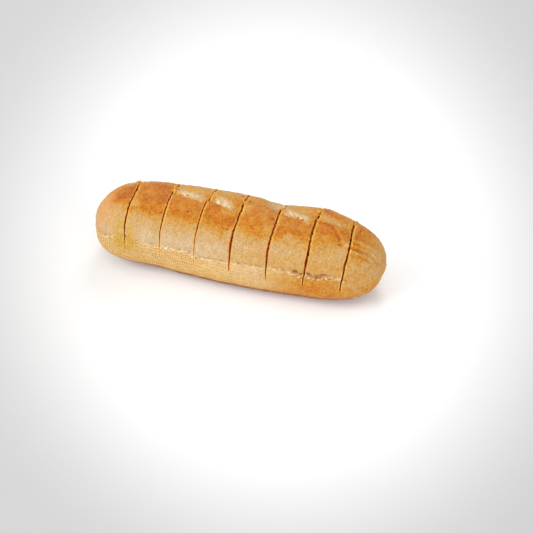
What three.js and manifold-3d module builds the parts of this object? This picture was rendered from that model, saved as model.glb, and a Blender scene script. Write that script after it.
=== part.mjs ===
// A garlic baguette, cut into eight portions that still hold together at the base.
// Millimetres. X runs along the loaf, Y across it and +Z up. The loaf rests on Z = 0, with the origin
// under the middle of its bounding box, and its front is the side that faces -Y.
//
// The crust is a lattice of rings along X, whose points lie on a rounded section that closes at both tips.
// Relief is then added outwards from a line inside the loaf: the torn crease along each long side, where the
// dome rose over the tray-shaped base, the slashes on top, the folded seam on the right tip, the pinch at
// each knife cut and a few uneven swellings. The seven knife cuts are taken out last.
import * as THREE from "three";
import { mergeVertices } from "three/addons/utils/BufferGeometryUtils.js";
import Module from "manifold-3d";

// Driving dimensions of the loaf
const LENGTH = 250;
const WIDTH = 75;
const HEIGHT = 62.5;
const NOSE_HEIGHT = 28; // of the tips above the table
const WIDEST = 0.36; // the share of the height at which the loaf is widest
const TAPER = 0.03; // how much wider the right end is than the middle, and narrower the left
const BOW = 2.8; // how far the tips come forward of the middle
const SINK = 1.2; // how far the round belly would reach below the table, which makes the flat it rests on
const DOME = 2.64; // superellipse powers of the section: above its widest level
const BELLY = 2.86; // and below it
const BLUNTNESS = {
  left: { plan: 6.4, top: 6.2, base: 4.9 },
  right: { plan: 3.9, top: 4.9, base: 5.4 },
};

// Knife cuts, made by hand: where each one's floor is, its width on top, how far its top leans along X and
// how far it turns from straight across
const CUTS = [
  { x: -92.0, width: 1.4, floor: 21.0, lean: 3.3, turnDeg: 5.2 },
  { x: -58.4, width: 1.1, floor: 25.5, lean: 1.0, turnDeg: 2.3 },
  { x: -26.2, width: 1.0, floor: 24.5, lean: 0.0, turnDeg: -1.5 },
  { x: 3.0, width: 1.5, floor: 25.0, lean: 0.6, turnDeg: 0.7 },
  { x: 35.0, width: 1.5, floor: 24.5, lean: -0.8, turnDeg: -0.8 },
  { x: 62.7, width: 1.6, floor: 23.5, lean: 3.4, turnDeg: 1.4 },
  { x: 92.3, width: 1.8, floor: 21.0, lean: 4.0, turnDeg: 2.6 },
];
const CUT_FLOOR_SHARE = 0.6; // a cut's width at its floor, as a share of its width on top
const CUT_TOP = HEIGHT + 12; // where the cutting shape ends, clear of the loaf
const CUT_REACH = WIDTH + 20; // how far it goes across
const PINCH = { depth: 0.7, reach: 5 }; // the crust draws in beside a cut
const PINCH_HEIGHTS = { from: -2, full: 8 }; // above the cut's floor
const RIM = { height: 0.7, offset: 1.7, reach: 1.3 }; // and curls up right at its edge
const RIM_HEIGHTS = { from: HEIGHT * 0.6, full: HEIGHT * 0.95 };

// The torn crease along each long side. Its path holds places along X with the height there.
const CREASE = {
  front: {
    path: [
      [-112, 31], [-98, 37], [-80, 39], [-70, 36.5], [-32, 36.8], [-28, 33.5], [-8, 34], [50, 37], [58, 38],
      [61, 35], [66, 37], [74, 35], [79, 38.5], [84, 36], [93, 35.8], [98, 32.4], [104, 27], [112, 18],
    ],
    depth: 1.5,
    lip: 0.7,
  },
  back: {
    path: [[-112, 28], [-84, 33], [-60, 35], [-34, 32.5], [0, 34.5], [30, 32], [62, 35], [90, 31], [112, 20]],
    depth: 1.9,
    lip: 1.1,
  },
};
const CREASE_HALF_WIDTH = 1.5;
const CREASE_LIP = { above: 4.5, reach: 4 }; // the dome bulges just above the crease
const CREASE_RUN = { left: -112, right: 108, fade: 14 }; // where it dies out round the tips
const CREASE_MARGIN = 0.3; // the least share of a section's height that is below it, and above it

// Slashes on top: a raised lip in front, a step down and a slow rise behind
const SLASHES = [
  { from: [-80, 15], to: [8, -7], bow: -0.5, depth: 1.8, lip: 0.8, behind: 7 },
  { from: [27, 13], to: [98, -1], bow: -2.5, depth: 1.6, lip: 0.7, behind: 6 },
  { from: [60, 0], to: [100, -22], bow: 5, depth: 1.2, lip: 0.7, behind: 5 },
  { from: [92, -17], to: [124, -10], bow: 0, depth: 1.5, lip: 1.2, behind: 3 },
];
const SLASH_LIP = { offset: -2.0, reach: 1.9 };
const SLASH_STEP = { offset: 2.2, reach: 1.7 };
const SLASH_FULLNESS = 0.7; // how early a slash reaches its full depth, where 1 is a plain sine arch

// Swellings and hollows of the uneven dough: place, how far each reaches and how high it rises
const SWELLS = [
  { at: [28, 18, 57], reach: 9, rise: -6.2 }, // notch where the second slash starts
  { at: [34, 24, 52], reach: 20, rise: -1.6 },
  { at: [54, 13, 60], reach: 13, rise: -0.6 },
  { at: [69, 19, 58], reach: 10, rise: 1.6 },
  { at: [8, 12, 62], reach: 12, rise: 0.6 },
  { at: [-50, 16, 60], reach: 14, rise: -0.4 },
  { at: [64, -34, 8], reach: 15, rise: -1.0 },
  { at: [90, -29, 6], reach: 15, rise: -1.2 },
  { at: [-68, -35, 8], reach: 26, rise: -3.0 },
  { at: [-113, -26, 18], reach: 14, rise: 1.3 },
  { at: [112, -8, 50], reach: 10, rise: 1.0 },
  { at: [118, 6, 45], reach: 11, rise: 0.6 },
  { at: [124, -7, 31], reach: 9, rise: -3.6 },
  { at: [-40, 36, 40], reach: 20, rise: 1.6 },
  { at: [70, 36, 42], reach: 18, rise: 1.3 },
  { at: [15, 35, 45], reach: 12, rise: -1.2 },
];
const LUMP = { rise: 0.45, pitch: 15, slant: 19, across: 13, phase: 2 }; // gentle unevenness everywhere

// Lattice
const SPINE_HALF = LENGTH / 2 - 34; // relief points away from this inner line
const END_RINGS = 14; // rings between each tip and the cut next to it
const PORTION_RINGS = 8; // rings in each portion between two cuts
const STEPS = { belly: 10, dome: 40, back: 9 }; // points between the base line and each crease
const CROWDING = 0.55; // how much the points draw together beside a crease

const bell = (distance, reach) => Math.exp(-((distance / reach) ** 2));
const power = (value, exponent) => Math.sign(value) * Math.abs(value) ** exponent;

function smoothStep(low, high, value) {
  const u = Math.min(1, Math.max(0, (value - low) / (high - low)));
  return u * u * (3 - 2 * u);
}

// The value at a place, between stops of [place, value].
function interpolate(stops, place) {
  const at = THREE.MathUtils.clamp(place, stops[0][0], stops.at(-1)[0]);
  const next = Math.max(1, stops.findIndex((stop) => at <= stop[0]));
  const [from, start] = stops[next - 1];
  const [to, end] = stops[next];
  return THREE.MathUtils.mapLinear(at, from, to, start, end);
}

// How full the loaf is at x: 1 in the middle and 0 at the tip.
const fullness = (x, bluntness) => Math.sqrt(Math.max(0, 1 - Math.abs((2 * x) / LENGTH) ** bluntness));

// The levels and half width of the section at x.
function sectionAt(x) {
  const blunt = x < 0 ? BLUNTNESS.left : BLUNTNESS.right;
  const along = (2 * x) / LENGTH;
  const top = NOSE_HEIGHT + (HEIGHT - NOSE_HEIGHT) * fullness(x, blunt.top);
  const base = NOSE_HEIGHT - (NOSE_HEIGHT + SINK) * fullness(x, blunt.base);
  return {
    x,
    top,
    base,
    widest: base + (top - base) * WIDEST,
    halfWidth: (WIDTH / 2) * (1 + TAPER * along) * fullness(x, blunt.plan),
    centreY: BOW * (1 / 3 - along * along),
  };
}

// A point of the section. The angle is -90 degrees at the base line, 0 in front, 90 on top and 180 at the
// back.
function sectionPoint(s, angle) {
  const up = Math.sin(angle) >= 0;
  const exponent = 2 / (up ? DOME : BELLY);
  const y = s.centreY - s.halfWidth * power(Math.cos(angle), exponent);
  const z = s.widest + (up ? s.top - s.widest : s.widest - s.base) * power(Math.sin(angle), exponent);
  return new THREE.Vector3(s.x, y, z);
}

// The angle in front at which the section has the given height.
function angleAtHeight(s, z) {
  const up = z >= s.widest;
  const share = (z - s.widest) / (up ? s.top - s.widest : s.widest - s.base);
  return Math.asin(power(Math.min(1, Math.max(-1, share)), (up ? DOME : BELLY) / 2));
}

// Where the middle of a cut is along X, at a place across the loaf and a height.
function cutX(cut, y, z) {
  const up = (z - cut.floor) / (CUT_TOP - cut.floor);
  return cut.x + cut.lean * up - y * Math.tan(THREE.MathUtils.degToRad(cut.turnDeg));
}

// How far the lattice follows the lean of the cuts at a point of the ring at x: fully beside a cut, not at
// all on the tips.
function leanAt(x, p) {
  const leans = CUTS.map((cut) => [cut.x, cutX(cut, p.y, p.z) - cut.x]);
  return interpolate([[-LENGTH / 2, 0], ...leans, [LENGTH / 2, 0]], x);
}

// The height of the crease on one side, kept between the section's levels near the tips.
function creaseHeight(crease, s) {
  const margin = CREASE_MARGIN * (s.top - s.base);
  return THREE.MathUtils.clamp(interpolate(crease.path, s.x), s.base + margin, s.top - margin);
}

function creaseRelief(p, s) {
  const crease = p.y < s.centreY ? CREASE.front : CREASE.back;
  const above = p.z - creaseHeight(crease, s);
  const fade =
    smoothStep(CREASE_RUN.left, CREASE_RUN.left + CREASE_RUN.fade, p.x) *
    (1 - smoothStep(CREASE_RUN.right - CREASE_RUN.fade, CREASE_RUN.right, p.x));
  const lip = crease.lip * bell(above - CREASE_LIP.above, CREASE_LIP.reach);
  return fade * (lip - crease.depth * bell(above, CREASE_HALF_WIDTH));
}

function slashRelief(p, s) {
  if (p.z < s.widest) return 0;
  let relief = 0;
  for (const slash of SLASHES) {
    const along = (p.x - slash.from[0]) / (slash.to[0] - slash.from[0]);
    if (along <= 0 || along >= 1) continue;
    const straight = THREE.MathUtils.lerp(slash.from[1], slash.to[1], along);
    const across = p.y - straight - slash.bow * 4 * along * (1 - along);
    const strength = Math.sin(Math.PI * along) ** SLASH_FULLNESS;
    const reach = across < SLASH_STEP.offset ? SLASH_STEP.reach : slash.behind;
    relief += strength * slash.lip * bell(across - SLASH_LIP.offset, SLASH_LIP.reach);
    relief -= strength * slash.depth * bell(across - SLASH_STEP.offset, reach);
  }
  return relief;
}

function cutRelief(p) {
  const onTop = smoothStep(RIM_HEIGHTS.from, RIM_HEIGHTS.full, p.z);
  let relief = 0;
  for (const cut of CUTS) {
    const distance = Math.abs(p.x - cutX(cut, p.y, p.z));
    const open = smoothStep(PINCH_HEIGHTS.from, PINCH_HEIGHTS.full, p.z - cut.floor);
    relief -= PINCH.depth * open * bell(distance, PINCH.reach);
    relief += RIM.height * onTop * bell(distance - RIM.offset, RIM.reach);
  }
  return relief;
}

function swellRelief(p) {
  const along = Math.sin(p.x / LUMP.pitch + p.y / LUMP.slant);
  const round = Math.sin(p.y / LUMP.across - p.z / LUMP.pitch + LUMP.phase);
  let relief = LUMP.rise * along * round;
  for (const swell of SWELLS) {
    relief += swell.rise * bell(p.distanceTo(new THREE.Vector3(...swell.at)), swell.reach);
  }
  return relief;
}

// A point of the crust: the section's point, pushed out by the relief and flattened on the table.
function crustPoint(place, angle) {
  const s = sectionAt(place + leanAt(place, sectionPoint(sectionAt(place), angle)));
  const p = sectionPoint(s, angle);
  const inner = new THREE.Vector3(THREE.MathUtils.clamp(s.x, -SPINE_HALF, SPINE_HALF), s.centreY, s.widest);
  const outwards = p.clone().sub(inner).normalize();
  p.addScaledVector(outwards, creaseRelief(p, s) + slashRelief(p, s) + cutRelief(p) + swellRelief(p));
  p.z = Math.max(0, p.z);
  return p;
}

// The angles of a ring's points, from the base line round the front, the top and the back.
// Each stretch crowds its points towards the crease or creases that it ends at.
function ringAngles(s) {
  const front = angleAtHeight(s, creaseHeight(CREASE.front, s));
  const back = Math.PI - angleAtHeight(s, creaseHeight(CREASE.back, s));
  const angles = [];
  for (let i = 0; i < STEPS.belly; i++) {
    const u = i / STEPS.belly;
    angles.push(THREE.MathUtils.lerp(-Math.PI / 2, front, u + CROWDING * u * (1 - u)));
  }
  for (let i = 0; i < STEPS.dome; i++) {
    const turn = (2 * Math.PI * i) / STEPS.dome;
    angles.push(THREE.MathUtils.lerp(front, back, (turn - CROWDING * Math.sin(turn)) / (2 * Math.PI)));
  }
  for (let i = 0; i < STEPS.back; i++) {
    const u = i / STEPS.back;
    angles.push(THREE.MathUtils.lerp(back, (3 * Math.PI) / 2, u - CROWDING * u * (1 - u)));
  }
  return angles;
}

// The places of the rings of one end, counted from its tip to the edge of the cut next to it. Equal turns of
// the rounded tip's profile lie closer and closer together towards the tip.
function endPlaces(edge, bluntness) {
  const half = LENGTH / 2;
  const step = Math.acos((edge / half) ** (bluntness / 2)) / END_RINGS;
  return Array.from({ length: END_RINGS }, (_, i) => half * Math.cos(step * (i + 1)) ** (2 / bluntness));
}

// The places of the rings along X, from left to right: one end, the portions between the cuts, the other end.
function ringPlaces() {
  const edge = RIM.offset;
  const left = endPlaces(edge - CUTS[0].x, BLUNTNESS.left.plan).map((x) => -x);
  const right = endPlaces(edge + CUTS.at(-1).x, BLUNTNESS.right.plan).reverse();
  const portions = CUTS.slice(1).flatMap((cut, i) => {
    const from = CUTS[i].x + edge;
    const step = (cut.x - edge - from) / (PORTION_RINGS - 1);
    return Array.from({ length: PORTION_RINGS }, (_, k) => from + step * k);
  });
  return [...left, ...portions, ...right];
}

// The closed crust: rings joined by quads, and a fan at each tip.
function crustGeometry() {
  const rings = ringPlaces().map((x) => ringAngles(sectionAt(x)).map((angle) => crustPoint(x, angle)));
  const around = rings[0].length;
  const positions = rings.flat();
  const leftTip = positions.push(new THREE.Vector3(-LENGTH / 2, BOW * (1 / 3 - 1), NOSE_HEIGHT)) - 1;
  const rightTip = positions.push(new THREE.Vector3(LENGTH / 2, BOW * (1 / 3 - 1), NOSE_HEIGHT)) - 1;
  const triangles = [];
  for (let r = 0; r + 1 < rings.length; r++) {
    for (let k = 0; k < around; k++) {
      const a = r * around + k;
      const b = r * around + ((k + 1) % around);
      triangles.push(a, a + around, b + around, a, b + around, b);
    }
  }
  const last = (rings.length - 1) * around;
  for (let k = 0; k < around; k++) {
    const next = (k + 1) % around;
    triangles.push(leftTip, k, next, rightTip, last + next, last + k);
  }
  return new THREE.BufferGeometry().setFromPoints(positions).setIndex(triangles);
}

// The thin wedge that a knife takes out: narrow at its floor, and leaning a little along the loaf.
function cutGeometry({ x, width, floor, lean, turnDeg }) {
  const low = (width * CUT_FLOOR_SHARE) / 2;
  const high = width / 2;
  const wedge = new THREE.Shape([
    new THREE.Vector2(-low, floor),
    new THREE.Vector2(low, floor),
    new THREE.Vector2(high + lean, CUT_TOP),
    new THREE.Vector2(-high + lean, CUT_TOP),
  ]);
  return new THREE.ExtrudeGeometry(wedge, { depth: CUT_REACH, bevelEnabled: false })
    .rotateX(Math.PI / 2)
    .translate(0, CUT_REACH / 2, 0)
    .rotateZ(THREE.MathUtils.degToRad(turnDeg))
    .translate(x, 0, 0);
}

// A closed geometry as a solid that can be cut, and back.
function solidOf(geometry) {
  const bare = new THREE.BufferGeometry()
    .setAttribute("position", geometry.getAttribute("position"))
    .setIndex(geometry.index);
  const merged = mergeVertices(bare, 1e-4);
  return new wasm.Manifold(
    new wasm.Mesh({
      numProp: 3,
      vertProperties: new Float32Array(merged.attributes.position.array),
      triVerts: new Uint32Array(merged.index.array),
    }),
  );
}

function geometryOf(solid) {
  const mesh = solid.getMesh();
  return new THREE.BufferGeometry()
    .setAttribute("position", new THREE.BufferAttribute(mesh.vertProperties, 3))
    .setIndex(new THREE.BufferAttribute(mesh.triVerts, 1));
}

// Puts the origin under the middle of the bounding box.
function centreOverOrigin(geometry) {
  geometry.computeBoundingBox();
  const middle = geometry.boundingBox.getCenter(new THREE.Vector3());
  return geometry.translate(-middle.x, -middle.y, 0);
}

const wasm = await Module();
wasm.setup();

let loafSolid = solidOf(crustGeometry());
for (const cut of CUTS) loafSolid = loafSolid.subtract(solidOf(cutGeometry(cut)));
const loafGeometry = centreOverOrigin(geometryOf(loafSolid));
loafGeometry.computeVertexNormals();

const crust = new THREE.MeshStandardMaterial({ color: 0xd39a55, roughness: 0.62, metalness: 0 });
const loaf = new THREE.Mesh(loafGeometry, crust);
loaf.name = "loaf";

const garlicBread = new THREE.Group();
garlicBread.add(loaf);

export default garlicBread;
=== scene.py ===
"""Looks for a garlic baguette, cut part way down into eight portions that hold together at the base.

The loaf is one closed mesh. Its crust is a lattice of rings along X with points round each ring, and at
each knife cut two crumb walls go in from the rings beside it. Relief, from the torn creases down to small
pits, is added to the lattice. Browning, flour, butter and the like go with it as attributes, which the
crust's material reads; among them is painted light: a painted sheen on the left end, painted shade in
the cracks, folds and along the bottom, and painted highlights on the cuts' rims, ridges and dents.
Crumbs, herb flecks and scorched specks are small pieces of their own.

Everything is in millimetres until a mesh is made. At the end the meshes are laid over the frame's loaf.
"""

from types import SimpleNamespace

import bmesh
import bpy
import numpy as np
from mathutils import Matrix, Vector


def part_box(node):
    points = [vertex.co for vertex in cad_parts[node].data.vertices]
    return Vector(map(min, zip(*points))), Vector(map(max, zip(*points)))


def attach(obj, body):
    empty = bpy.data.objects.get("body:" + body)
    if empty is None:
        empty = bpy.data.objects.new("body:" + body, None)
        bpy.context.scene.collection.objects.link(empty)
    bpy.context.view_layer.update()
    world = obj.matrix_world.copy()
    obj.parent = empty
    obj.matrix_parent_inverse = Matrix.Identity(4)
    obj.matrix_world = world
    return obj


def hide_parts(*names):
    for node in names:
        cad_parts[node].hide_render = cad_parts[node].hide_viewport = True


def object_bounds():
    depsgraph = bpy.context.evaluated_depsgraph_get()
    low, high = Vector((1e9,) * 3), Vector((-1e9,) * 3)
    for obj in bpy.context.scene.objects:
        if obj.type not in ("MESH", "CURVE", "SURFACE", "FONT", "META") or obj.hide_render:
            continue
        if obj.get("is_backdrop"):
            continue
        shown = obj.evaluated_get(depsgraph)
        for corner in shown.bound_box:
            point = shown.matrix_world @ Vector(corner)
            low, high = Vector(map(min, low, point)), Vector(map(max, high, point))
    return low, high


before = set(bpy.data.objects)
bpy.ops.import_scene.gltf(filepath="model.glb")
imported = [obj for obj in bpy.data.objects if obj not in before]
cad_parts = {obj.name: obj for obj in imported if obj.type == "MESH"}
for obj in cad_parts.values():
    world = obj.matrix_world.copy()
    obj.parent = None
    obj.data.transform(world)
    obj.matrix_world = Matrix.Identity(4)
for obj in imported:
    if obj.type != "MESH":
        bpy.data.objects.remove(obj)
cad_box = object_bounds()

METRES = 0.001  # a millimetre in metres

# --- Driving dimensions, the solid's own but for how wide the cuts are ---
LENGTH, WIDTH, HEIGHT = 250.0, 75.0, 62.5
NOSE_HEIGHT = 28.0  # of the tips above the table
WIDEST = 0.36  # the share of the height at which the loaf is widest
TAPER = 0.03  # how much wider the right end is than the middle, and narrower the left
BOW = 2.8  # how far the tips come forward of the middle
SINK = 1.2  # how far the round belly would reach below the table, which makes the flat it rests on
DOME, BELLY = 2.64, 2.86  # superellipse powers of the section above its widest level, and below it
BLUNTNESS = {"plan": (6.4, 3.9), "top": (6.2, 4.9), "base": (4.9, 5.4)}  # left end, right end
SPINE_HALF = LENGTH / 2 - 34  # relief stands out from this inner line
TOP_FROM, TOP_FULL = HEIGHT * 0.6, HEIGHT * 0.95  # heights between which the top of the loaf begins

# Knife cuts: place, height of the floor, lean of the top along X, turn from straight across, and how wide
# the cut gapes on top, half-way down and at its floor
CUTS = [
    SimpleNamespace(x=x, floor=floor, lean=lean, turn=np.radians(turn), widths=widths)
    for x, floor, lean, turn, widths in (
        (-92.0, 21.0, 3.3, 5.2, (1.25, 0.75, 0.22)),
        (-58.4, 25.5, 1.0, 2.3, (0.85, 0.36, 0.2)),
        (-26.2, 24.5, 0.0, -1.5, (0.75, 0.36, 0.22)),
        (3.0, 25.0, 0.6, 0.7, (1.25, 1.9, 0.7)),
        (35.0, 24.5, -0.8, -0.8, (1.25, 1.8, 0.7)),
        (62.7, 23.5, 3.4, 1.4, (1.4, 1.8, 0.8)),
        (92.3, 21.0, 4.0, 2.6, (1.4, 1.9, 0.8)),
    )
]
CUT_TOP = HEIGHT + 12  # the height at which the lean is full
CUT_MIDDLE, CUT_UPPER = 47.0, 60.0  # heights at which a cut has its middle and its top width
CUT_UNEVEN, CUT_UNEVEN_SIZE = 0.25, 6.0  # how uneven its width is
WAVER_ACROSS = (0.45, 7.0)  # of the knife on its way across: how far, and its pitch
WAVER_DOWN = (0.18, 3.1)  # and on its way down
CURL, CURL_DEPTHS = 2.0, (0.3, 7.0)  # how far a cut's inside lies to the right of its rims, and how deep in
PINCH_DEPTH, PINCH_REACH = 0.7, 5.0  # the crust draws in beside a cut
PINCH_HEIGHTS = (-2.0, 8.0)  # above the cut's floor
RIM_HEIGHT, RIM_OFFSET, RIM_REACH = 0.7, 1.7, 1.3  # and curls up right at its edge
RIM_UNEVEN, RIM_UNEVEN_SIZE = 0.6, 5
BEVEL, BEVEL_FULL = (0.15, 1.0), HEIGHT * 0.75  # how worn down the left and right rims are, and from where
RIM_SHARES = (1.0, 0.5)  # how much of that, and of the lips below, a rim's first and second ring take
RAGGED = ((CUT_MIDDLE, 0.2), (CUT_UPPER, 0.85))  # how ragged a cut's edge is by height, in half widths
RAGGED_SIZE = 2.2
NARROWEST = 0.12  # half a cut's width where its rims nearly meet

# Rims that the knife raised: cut, side, place across the loaf, reach, height
LIPS = (
    (0, -1, 12.0, 3.0, 1.3),
    (0, 1, 13.5, 3.0, 1.6),
    (1, 1, 11.5, 5.0, 2.2),
    (1, -1, 13.0, 2.5, 0.9),
    (2, 1, 12.5, 5.0, 1.6),
    (3, -1, 10.0, 5.0, 1.1),
    (3, 1, 8.0, 3.0, 0.7),
    (4, 1, 9.0, 5.0, 1.3),
    (5, 1, 14.5, 4.0, 1.9),
    (5, -1, 12.0, 3.0, 1.0),
    (6, 1, 13.5, 4.0, 1.4),
)
LIP_UNEVEN, LIP_UNEVEN_SIZE = 0.7, 2.2

# Creases along the sides, where the dough tore as it rose: (place along X, height)
CREASE_FRONT = (
    (-112, 31), (-98, 37), (-80, 39), (-70, 36.5), (-32, 36.8), (-28, 33.5), (-8, 34), (50, 37), (58, 37.5),
    (62, 35.5), (67, 36.8), (74, 35.2), (79, 37), (86, 36), (93, 35.5), (98, 32.4), (104, 27), (112, 18),
)
CREASE_BACK = (
    (-112, 28), (-84, 33), (-60, 35), (-34, 32.5), (0, 34.5), (30, 32), (62, 35), (90, 31), (112, 20),
)
CREASE_TORN = (  # how torn they are
    (-114, 0), (-104, 0.8), (-90, 0.5), (-76, 0.35), (-60, 0.35), (-50, 0.8), (-30, 1.1), (-10, 0.9),
    (10, 0.6), (40, 0.7), (57, 1.1), (80, 1.4), (94, 1.1), (101, 0.3), (110, 0),
)
CREASE_WANDER, CREASE_WANDER_SIZE = 0.7, 5.0
CREASE_DEPTH, CREASE_LIP = (1.5, 1.9), (0.7, 1.1)  # front, back
CREASE_LIP_ABOVE, CREASE_LIP_REACH = 4.5, 4.0  # the dome bulges just above the crease
CREASE_GAPE = ((-30, 0.15), (50, 0.15), (57, 1.0), (75, 1.0), (83, 0.45), (94, 0.15))  # how wide they gape
GAPE_UNEVEN, GAPE_UNEVEN_SIZE, GAPE_MOST = 2.0, (5, 30, 30), 1.5
DROP = 1.6  # how far the ragged lower side lies below the crease
DROP_GAPING, DROP_GAPE = 2.3, 0.3  # how much lower it lies where the crease gapes, and from which gape on
CRACK_DEPTH, CRACK_ABOVE = 0.8, 0.75  # in the crease's depth, and how far up the crack goes
SHREDS = (1.3, 0.4, 1.9)  # on the lower side: rise, how far below it, reach
SHRED_SIZE = (2.6, 9, 1.4)
LEDGE = (0.35, 0.8, 1.6)  # what they hang from, as for the shreds

# Slashes on top: start, end, bow, depth, lip, reach behind
SLASHES = (
    ((-80, 15), (8, -7), -0.5, 1.8, 0.8, 7.0),
    ((27, 13), (98, -1), -2.5, 1.6, 0.7, 6.0),
)
SLASH_WANDER, SLASH_WANDER_SIZE = 0.9, 9.0
SLASH_FULLNESS = 0.7  # how early a slash reaches its full depth, where 1 is a plain sine arch
SLASH_LIP_OFFSET, SLASH_LIP_REACH = -2.0, 1.9
SLASH_STEP_OFFSET, SLASH_STEP_REACH = 2.2, 1.7
# Where the dough that a slash laid open is pale: from and to in plan, half width, change
OPENED = (
    ((-60, 9.5), (-24, 1), 4.4, -1.2),
    ((-25, 6.5), (0, -2), 5.0, -1.0),
    ((33, 8.5), (66, -1), 5.2, -0.95),
    ((64, 9), (90, 1), 3.4, -0.55),
)
OPENED_RUN_IN = 0.3  # of its length, over which it fades in and out
OPENED_FRONT, OPENED_BEHIND = (-1.4, -0.6), (1.9, 0.1)  # and across, in half widths
STREAK_SIZE, STREAK_TURN = (1.5, 9.0, 9.0), 38.0  # of stretched dough, and the degrees that its marks slant
STREAK_DEPTH, STREAK_PALE = 0.5, 0.7

# Folds in the skin, which has a ridge on their upper side: points, depth, ridge
FOLDS = (
    (
        ((66, -1, 62), (73, -0.6, 62), (78, -1.4, 61), (83.5, -7, 60.4), (88, -13, 58.4), (92, -18, 55.8)),
        0.9,
        0.7,
    ),
    (
        (
            (97, -16, 55), (105, -16, 52.4), (110, -14.6, 50.4), (114.5, -14.4, 47), (118, -13, 43.2),
            (121.5, -10.5, 37.5),
        ),
        1.9,
        1.5,
    ),
    (((99, -12, 56), (107.5, -9.6, 51.8), (112.5, -9.6, 48.3), (117, -9, 43.8), (121, -8.5, 39)), 1.0, 0.8),
    (((98, -20.5, 52), (104, -19.4, 50.4), (110, -17.7, 48.2), (114.5, -16.8, 45)), 1.0, 0.7),
)
FOLD_REACH, FOLD_SHARPNESS = 1.15, 0.75
RIDGE_OFFSET, RIDGE_REACH = 2, 1.3  # as shares of the fold's reach
FOLD_UNEVEN, FOLD_UNEVEN_SIZE = 0.5, 5.0
FOLD_WANDER, FOLD_WANDER_SIZE = 0.5, 6.0

# Small slanting dents, which a low ring of skin stands round
DENTS = (
    (-43.5, -28, 53.3), (-31.8, -28.3, 52.5), (-77.8, -23.3, 56.3), (-75.9, -27.3, 53.1),
    (-80.9, -8.4, 60.9), (-96.2, -10.4, 58.4), (-12.2, -19.8, 58.9), (28.5, -25, 55.9),
    (24.9, -26.5, 54.8), (45.2, -26, 55.4), (50.2, -23.3, 57.3), (52.8, -18.2, 59.7),
    (-17.5, -16.4, 60.3), (12.2, 8.2, 62.2), (55, -30.9, 49.8), (71.6, -14.6, 59.7),
    (67.3, -24.1, 55.7), (-84, -14, 60), (103, -26, 33), (-104, -28, 40),
)
DENT_SLANT = (0.5, 0.3, 0.81)
DENT_ALONG, DENT_ACROSS, DENT_DEPTH = 2.3, 1.0, 0.75
DENT_RING_RISE, DENT_RING_ALONG, DENT_RING_OFFSET = 0.3, 1.3, 2.2  # as shares of the dent's sizes

# Swellings and hollows: place, reach, rise
SWELLS = (
    ((28, 18, 57), 9, -6.2),
    ((34, 24, 52), 20, -1.6),
    ((54, 13, 60), 13, -0.6),
    ((69, 19, 58), 10, 1.6),
    ((8, 12, 62), 12, 0.6),
    ((-50, 16, 60), 14, -0.4),
    ((64, -34, 8), 15, -1.0),
    ((90, -29, 6), 15, -1.2),
    ((-68, -35, 8), 26, -3.0),
    ((-113, -26, 18), 14, 1.3),
    ((112, -8, 50), 10, 1.0),
    ((118, 6, 45), 11, 0.6),
    ((124, -7, 31), 9, -3.6),
    ((-40, 36, 40), 20, 1.6),
    ((70, 36, 42), 18, 1.3),
    ((15, 35, 45), 12, -1.2),
)
# Gentle unevenness everywhere
LUMPS = SimpleNamespace(rise=0.45, pitch=15.0, slant=19.0, across=13.0, phase=2.0)

# Unevenness of the skin: size, rise, seed, octaves
SKIN = ((12.0, 0.36, 49, 1), ((6.5, 5, 4.5), 0.26, 51, 2), (2.6, 0.13, 53, 2))
# Its pits and blisters: size, from where to where in the noise, rise, seed
SKIN_SPOTS = (((4.0, 4.0, 2.8), (0.42, 0.75), -0.45, 57), ((3.2, 3.2, 2.4), (0.5, 0.8), 0.3, 59))

# --- Browning, from 0 for pale dough to 1 for well browned crust, by height; some of it is painted light ---
BROWN_LEFT = ((38, 0.0), (45, 0.02), (48, 0.16), (52, 0.27), (54, 0.36), (56, 0.5), (58, 0.8), (60, 0.95))
BROWN_RIGHT = ((38, 0.4), (44, 0.36), (50, 0.25), (54, 0.38), (56, 0.6), (58, 0.82), (60, 0.94))
BROWN_LEFT_END = ((20, 0.34), (30, 0.26), (40, 0.22), (48, 0.38), (52, 0.48), (55, 0.62), (58, 0.9))
BROWN_RIGHT_END = ((15, 0.85), (28, 0.52), (45, 0.46), (50, 0.7), (55, 1.0))
# On the base the crust is darker towards the bottom, most on the right: partly browning from the tray,
# partly painted contact shade
BASE_LEFT = ((2, 0.5), (12, 0.3), (20, 0.05), (30, -0.05), (38, -0.05))
BASE_RIGHT = ((2, 0.95), (17, 0.86), (28, 0.76), (38, 0.62))
BROWN_SIDES = (-25.0, 35.0)  # places along X, from the left's browning to the right's
BASE_SIDES = (20.0, 66.0)
LEFT_END = (-99.0, -105.0)
RIGHT_END = (92.0, 100.0)
BACK = (4, 13)  # behind the middle, where the top turns paler
BACK_PALER = ((-62, 0.0), (-52, 0.45), (-5, 0.4), (8, 0.25), (58, 0.3), (68, 0.0))  # by how much along X
BROWN_WAVER = (1.6, 14.0, 60)  # of the heights: how far, size, seed
PATCH_WAVER = (1.6, 5.0, (71, 72, 73))  # of the patches below, along each axis
SLASH_LIP_BROWN = (0.15, 2.4)  # how much browner a slash's lip is, and its reach
FOLD_SHADE = (0.22, 1.2)  # painted shade at the bottom of a fold: how much browner, and its reach
RIDGE_HIGHLIGHT = (-0.34, 1.4, 2.2)  # a painted highlight on the ridge above it: how much paler, its reach, and how far from the fold it is
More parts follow.
